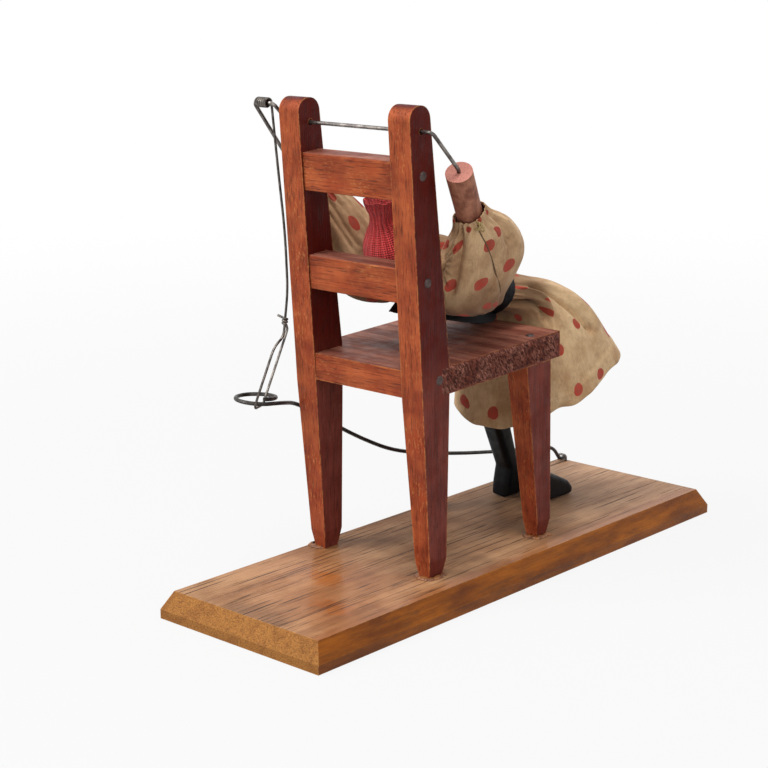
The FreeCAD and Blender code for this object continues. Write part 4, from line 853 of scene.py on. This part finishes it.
# Short pleats fan out from the eye where the right sleeve is bunched.
PLEAT_EYE = (0.737, 0.365)
PLEAT_ENDS = ((0.700, 0.270), (0.745, 0.245), (0.780, 0.275), (0.812, 0.330), (0.820, 0.395),
              (0.815, 0.455), (0.800, 0.515), (0.770, 0.545))
PLEAT_STARTS = tuple((PLEAT_EYE[0] + 0.25 * (end[0] - PLEAT_EYE[0]),
                      PLEAT_EYE[1] + 0.25 * (end[1] - PLEAT_EYE[1])) for end in PLEAT_ENDS)
# Lift, half width and line of each fold, on the flat cloth; the first is the seam's groove.
RIGHT_FOLDS = (
    (-0.9, 0.9, ((0.915, 0.100), (0.922, 0.204), (0.944, 0.297), (0.970, 0.414), (0.994, 0.528),
                 (1.029, 0.624), (1.050, 0.700))),
    (-3.2, 1.8, ((0.760, 0.100), (0.790, 0.200), (0.820, 0.280), (0.838, 0.355), (0.838, 0.450),
                 (0.822, 0.540))),
    (1.6, 4.5, ((0.775, 0.300), (0.785, 0.480))),
    (-1.9, 1.5, ((1.072, 0.190), (1.063, 0.242), (1.049, 0.350))),
    (1.2, 2.4, ((1.095, 0.240), (1.085, 0.390))),
    (-1.2, 1.6, ((0.900, 0.480), (0.935, 0.580), (0.985, 0.640))),
) + tuple((-1.6, 0.8, (start, end)) for start, end in zip(PLEAT_STARTS, PLEAT_ENDS))
LEFT_FOLDS = (
    (-1.2, 0.9, ((0.600, 0.150), (0.600, 0.250), (0.588, 0.380))),
    (-1.1, 0.9, ((0.552, 0.150), (0.562, 0.280), (0.552, 0.390))),
)


def build_sleeve(side, rings, folds, seed):
    """A bag-like sleeve from its ragged cuff to the pleats at the armhole."""
    direction = towards_hand(side)

    def sleeve_point(turn, along):
        *ring, half = through(rings, along)
        across, rise = around(turn, SLEEVE_SQUARENESS)
        middle, upward = slanted_ring(*ring)
        angle = TURN * turn
        outward = (ACROSS * (side * across) + upward.normalized() * rise).normalized()
        pinch = math.exp(-((along - CUFF_PINCH) / 0.10) ** 2)
        gather = 0.5 * math.cos(CUFF_GATHERS * angle + 2 * ripple(turn, 0, seed)) * pinch
        crease = 1.6 * min(0.15, ripple(turn, along, seed, 1.9)) * min(1.0, along * 3)
        lift = gather + crease + folded(turn, along, SLEEVE_FLAT, folds)
        point = middle + ACROSS * (side * half * across) + upward * rise + outward * lift
        ragged = ripple(turn, 0.0, seed + 3.0, 2.2) - 0.4 * math.cos(2 * angle + 1.2)
        point += direction * (max(0.0, 1 - along * 9) * ragged)
        if side * (point.x - MIDDLE_X) < ARMHOLE_OUT:
            forward, up = point.y - CHEST.y, point.z - CHEST.z
            reach = math.hypot(up, forward)
            pleat = 0.6 * (1 + math.cos(ARMHOLE_PLEATS * math.atan2(up, forward)))
            pleat *= min(1.0, reach / 6.0)
            pleat *= max(0.0, 1 - reach / ARMHOLE_REACH)
            point.x = MIDDLE_X + side * (ARMHOLE_OUT + pleat)
        return point

    piece = skin("cotton_sleeve_" + SIDES[side], 140, 84, SLEEVE_FLAT, sleeve_point)
    thicken(piece, 0.4)
    dress(piece, SLEEVE_COTTON, "crank", "cotton", "sleeve_" + SIDES[side])
    return sleeve_point


# The right sleeve's seam on the flat cloth, cuff to closed end, and the loops of the knot that it
# starts from: how far each is moved aside, its reach and its lean.
SEAM_LINE = ((0.915, 0.085), (0.919, 0.150), (0.924, 0.215), (0.944, 0.297), (0.970, 0.414),
             (0.994, 0.528), (1.029, 0.624), (1.050, 0.700))
SEAM_PROUD = 0.2
KNOT_LOOPS = ((0.0, 2.6, 0.8), (0.9, 3.4, -0.7), (-1.0, 2.2, 0.3))
KNOT_SPOTS = 9
CUFF_MIDDLE = Vector((35.0, -35.1, 181.3))
THREAD_FLAT = (0.001, 0.05)


def build_thread(name, line, radius, finish):
    """A round thread along spots given in millimetres, closed to a point at both ends."""
    def thread_point(turn, along):
        middle = Vector(through(line, along))
        ahead = Vector(through(line, min(along + 0.02, 1.0)))
        behind = Vector(through(line, max(along - 0.02, 0.0)))
        course = (ahead - behind).normalized()
        across = course.orthogonal().normalized()
        angle = TURN * turn
        thin = radius * min(1.0, 25 * along, 25 * (1 - along))
        return middle + (across * math.cos(angle) + course.cross(across) * math.sin(angle)) * thin

    piece = skin(name, 8, 12 * len(line), THREAD_FLAT, thread_point)
    dress(piece, finish, "crank", "thread")


def build_seam(sleeve_point):
    """The seam's thread, half sunk in the cloth, and the tangled knot at the cuff."""
    seam = []
    for turn, along in SEAM_LINE:
        spot = sleeve_point(turn % 1.0, along)
        opposite = sleeve_point((turn + 0.5) % 1.0, along)
        seam.append(spot + (spot - opposite).normalized() * SEAM_PROUD)
    build_thread("sleeve_seam", seam, 0.34, SEAM_THREAD)
    knot = seam[0]
    outward = (knot - CUFF_MIDDLE).normalized()
    for index, (move, reach, lean) in enumerate(KNOT_LOOPS):
        line = []
        for step in range(KNOT_SPOTS):
            angle = TURN * step / KNOT_SPOTS * 1.3 + index
            side = ACROSS * (math.cos(angle) * reach * 0.6 + move)
            rise = Vector((0, lean, 1)) * (math.sin(angle) * reach * 0.7)
            line.append(knot + outward * (0.7 + 0.35 * index) + side + rise)
        build_thread(f"cuff_knot_{index + 1}", line, 0.36, LINEN_THREAD)


# ---------------- cap
def tilted(degrees):
    """A direction in the doll's middle plane: 0 is forwards and 90 is up."""
    return Vector((0, math.cos(math.radians(degrees)), math.sin(math.radians(degrees))))


HEAD = CHEST + SPINE * -25.2 + CHEST_UP * -3.3
CAP_AXIS = tilted(122)
TASSEL_AXIS = tilted(98)
CAP_FLAT = (0.082, 0.042)
CAP_RIBS = 48
TASSEL_FOLDS = 7
# Height along the axis, radius, turn towards the tassel's axis and depth of the folds, brim to top.
CAP_ROWS = (
    (-3.4, 14.6, 0.0, 0.0),
    (-2.0, 15.4, 0.0, 0.0),
    (2.5, 15.0, 0.0, 0.1),
    (7.0, 13.3, 0.0, 0.1),
    (11.0, 10.6, 0.0, 0.2),
    (15.0, 7.4, 0.0, 0.3),
    (18.5, 5.7, 0.1, 0.4),
    (21.5, 6.4, 0.5, 0.5),
    (24.5, 8.2, 0.8, 0.6),
    (26.6, 8.8, 1.0, 0.7),
)


def cap_point(turn, along):
    height, radius, lean, fold = through(CAP_ROWS, along)
    angle = TURN * turn
    heading = (CAP_AXIS * (1 - lean * 0.5) + TASSEL_AXIS * (lean * 0.5)).normalized()
    forward = ACROSS.cross(heading)
    ribs = 0.10 * math.cos(CAP_RIBS * angle)
    folds = fold * 0.8 * math.cos(TASSEL_FOLDS * angle + 2 * ripple(turn, 0, 5.0))
    wide = radius + ribs + folds
    point = HEAD + heading * height
    point += (ACROSS * math.cos(angle) + forward * math.sin(angle)) * wide
    point += heading * (fold * 0.7 * ripple(turn, 1.0, 8.0, 2.5))
    return point


def build_cap():
    piece = skin("knitted_cap", 204, 72, CAP_FLAT, cap_point)
    thicken(piece, 1.0, 0)
    dress(piece, KNIT, "doll", "cap_knit", "cap", "cap_tassel")


# ---------------- waist ribbon
# Millimetres: how far down the spine the ribbon lies, the waist's half width and half depth, and
# where the skirt starts to push the ribbon out.
RIBBON_DOWN = 41.6
WAIST_HALF, WAIST_DEEP = 17.6, 11.0
SKIRT_DOWN = 42.0
# The ribbon as it lies round the waist, which its pattern follows, and as it was cut.
RIBBON_LAID = (0.096, 0.007)


def ribbon_point(turn, along):
    side, rise = around(turn, 2.0)
    # Widened underneath, where its black also fills the deep shade under the doll: partly real
    # ribbon, partly painted shade.
    width = 6.0 + 3.0 * max(0.0, -rise)
    down = RIBBON_DOWN + (along - 0.6) * width
    puff = 0.5 * math.sin(math.pi * along) + 0.35 * ripple(turn, along, 6.0, 3.0)
    spread = 1.4 + puff + max(0.0, down - SKIRT_DOWN) * 0.35
    middle = CHEST + SPINE * down + ACROSS * ((WAIST_HALF + spread) * side)
    return middle + CHEST_UP * ((WAIST_DEEP + spread) * rise)


def build_ribbon():
    piece = skin("waist_ribbon", 120, 14, RIBBON_LAID, ribbon_point)
    thicken(piece, 0.4)
    dress(piece, RIBBON, "doll", "ribbon", "waistband")


# Lower edge of the right tail from the knot under the waist back towards the head.
TAIL_LINE = ((4.0, 24.0, 120.5), (8.5, 16.0, 119.8), (10.5, 4.0, 121.4), (10.0, -8.0, 123.4),
             (8.5, -20.0, 125.6), (6.0, -29.0, 127.6))
TAIL_FLAT = (0.054, 0.010)


def build_ribbon_tail(side):
    """One loose end of the ribbon, tucked up under the doll's back; its black also stands in for
    the deep shade between the bodice and the seat.
    """
    def tail_point(turn, along):
        x, y, z = through(TAIL_LINE, turn)
        wave = 0.9 * math.sin(9 * turn + side) + 0.5 * ripple(turn, along, 3.0 + side, 3.0)
        out = x - MIDDLE_X - along * (5.5 + wave)
        return Vector((MIDDLE_X + side * out, y, z + along * 7.5 + wave * 0.6))

    piece = skin("ribbon_tail_" + SIDES[side], 60, 10, TAIL_FLAT, tail_point, closed=False)
    thicken(piece, 0.3, 0)
    dress(piece, RIBBON, "doll", "ribbon")


# ---------------- small details on the stand
# Millimetres: y and z of the seat plank's lower rear edge and its slope, then the strip of torn
# grain on its end: where it starts, its length and height, and the most that it stands proud.
SEAT_REAR_Y, SEAT_REAR_Z = -64.3, 98.8
SEAT_SLOPE = math.tan(math.radians(2.2))
STRIP_START = -52.0
STRIP_LONG, STRIP_HIGH = 89.0, 12.4
STRIP_PROUD = 1.5
STRIP_FLAT = (0.089, 0.0122)


def build_seat_end(side):
    """Torn end grain standing a little proud of the seat plank's sawn end."""
    low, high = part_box("seat_board")
    face = (high[0] if side > 0 else low[0]) / MM

    def end_point(turn, along):
        y = STRIP_START + turn * STRIP_LONG
        base = SEAT_REAR_Z + (y - SEAT_REAR_Y) * SEAT_SLOPE
        ragged = noise.noise(Vector((y * 0.55, side, 4.0)))
        z = base + 0.2 + along * (STRIP_HIGH + 0.5 * ragged)
        edge = min(1.0, 12 * min(turn, 1 - turn), 6 * min(along, 1 - along))
        strands = Vector((0, y * 1.5 + z * 0.7, z * 0.55))
        coarse = noise.fractal(strands * 0.9, 0.8, 2.1, 4)
        fine = noise.noise(strands * 3.1)
        lift = edge * (0.55 + 0.9 * coarse + 0.35 * fine)
        proud = max(0.04, min(STRIP_PROUD, lift)) - 0.1 * (1 - edge)
        return Vector((face + side * proud, y, z))

    piece = skin("seat_end_" + SIDES[side], 300, 52, STRIP_FLAT, end_point, closed=False)
    thicken(piece, 0.4, 0)
    dress(piece, END_GRAIN, "stand", "chair_wood")


# Each foot's middle, x and y, and its half depth, in millimetres.
FEET = {
    "rear_post_left": (-41.35, -53.2, 5.2),
    "rear_post_right": (28.6, -53.2, 5.2),
    "front_leg_left": (-41.35, 26.85, 4.6),
    "front_leg_right": (28.6, 26.85, 4.6),
}
FOOT_HALF = 4.0
GLUE_OUT, GLUE_UP = 2.6, 1.3
GLUE_FLAT = (0.03, 0.003)
BOARD_FLAT = 45.0  # the board's flat top ends this far from its middle


def build_foot_glue(leg, seed):
    """A bead of old glue round the foot of a leg, where it meets the board."""
    x, y, deep = FEET[leg]

    def bead_point(turn, along):
        side, rise = around(turn, 3.4)
        swell = 1.0 + 0.45 * ripple(turn, 0, seed, 2.0)
        bend = along * math.pi / 2
        out = GLUE_OUT * swell * math.sin(bend) - 0.7
        up = GLUE_UP * swell * math.cos(bend)
        spot = min(max(x + (FOOT_HALF + out) * side, -BOARD_FLAT), BOARD_FLAT)
        return Vector((spot, y + (deep + out) * rise, BOARD_TOP + up - 0.05))

    piece = skin("foot_glue_" + leg, 48, 6, GLUE_FLAT, bead_point)
    thicken(piece, 0.3, 0)
    dress(piece, GLUE, "stand", "base_wood")


build_skirt()
build_bodice()
build_seam(build_sleeve(1, RIGHT_SLEEVE, RIGHT_FOLDS, 1.0))
build_sleeve(-1, LEFT_SLEEVE, LEFT_FOLDS, 12.0)
build_cap()
build_ribbon()
for side in SIDES:
    build_ribbon_tail(side)
for side in SIDES:
    build_seat_end(side)
for index, leg in enumerate(FEET):
    build_foot_glue(leg, index * 3.0)


# ---------------- studio
WHITE = (1, 1, 1, 1)
WORLD_LIGHT = 0.56
LAMP_AIM = Vector((0, 0, 0.1))
# Place in metres, size in metres and power in watts.
LAMPS = {
    "key": ((-0.9, -1.5, 1.5), 1.2, 30.0),
    "fill": ((1.6, -0.9, 0.7), 1.2, 6.0),
    "top": ((0.2, -0.3, 2.0), 0.9, 22.0),
}


def seen_directly(tree):
    """1 for rays from the camera, also off gloss and through glass, and 0 for all other light."""
    path = put(tree, "LightPath").outputs
    by_gloss = maths(tree, "MAXIMUM", path["Is Glossy Ray"], path["Is Transmission Ray"])
    return maths(tree, "MAXIMUM", path["Is Camera Ray"], by_gloss)


def build_floor():
    """A pale floor that reads as white to the camera and in reflections, and keeps the shadow."""
    bpy.ops.mesh.primitive_plane_add(size=40, location=(0, 0, -0.2 * MM))
    floor = bpy.context.object
    floor.name = "studio_floor"
    made, tree = new_material("studio_paper")
    shader, output = tree.nodes
    shader.inputs["Base Color"].default_value = paint(176, 176, 176)
    shader.inputs["Roughness"].default_value = 0.9
    shader.inputs["Specular IOR Level"].default_value = 0.0
    glow = put(tree, "Emission", {"Color": WHITE, "Strength": 1.0})
    far = put(tree, "VectorMath", {0: object_place(tree)}, operation="LENGTH").outputs["Value"]
    share = times(tree, seen_directly(tree), ease(tree, far, 0.2, 1.2, 0.87, 1.0))
    blend = put(tree, "MixShader", {0: share, 1: shader.outputs[0], 2: glow.outputs[0]})
    fill(tree, output.inputs[0], blend.outputs[0])
    floor.data.materials.append(made)


def build_world():
    """A soft light from all round, which the camera sees as white."""
    world = bpy.data.worlds.new("studio")
    world.use_nodes = True
    bpy.context.scene.world = world
    tree = world.node_tree
    tree.nodes.clear()
    light = {0: seen_directly(tree), 3: WORLD_LIGHT, 4: 1.0}
    strength = put(tree, "MapRange", light).outputs[0]
    glow = put(tree, "Background", {"Color": WHITE, "Strength": strength})
    put(tree, "OutputWorld", {0: glow.outputs[0]})


def add_lamp(name, place, size, power):
    light = bpy.data.lights.new(name, "AREA")
    light.shape = "DISK"
    light.size = size
    light.energy = power
    lamp = bpy.data.objects.new(name, light)
    lamp.location = place
    lamp.rotation_euler = (LAMP_AIM - Vector(place)).to_track_quat("-Z", "Y").to_euler()
    bpy.context.scene.collection.objects.link(lamp)


def build_camera():
    """Set the camera by its own right, up and backward directions and its place."""
    right = Vector((0.74123759, 0.67123505, -0.00321637))
    up = Vector((-0.15659311, 0.17757956, 0.97156786))
    back = Vector((0.65272156, -0.71965895, 0.23673943))
    centre = Vector((546.917, -656.373, 298.432)) * MM
    lens = bpy.data.cameras.new("studio_camera")
    lens.sensor_width = 36.0
    lens.sensor_fit = "HORIZONTAL"
    lens.lens = 84.97
    lens.clip_start = 0.01
    camera = bpy.data.objects.new("studio_camera", lens)
    facing = Matrix((right, up, back)).transposed().to_4x4()
    camera.matrix_world = Matrix.Translation(centre) @ facing
    bpy.context.scene.collection.objects.link(camera)
    bpy.context.scene.camera = camera


build_floor()
build_world()
for name, (place, size, power) in LAMPS.items():
    add_lamp(name, place, size, power)
build_camera()
bpy.context.scene.view_settings.view_transform = "Standard"
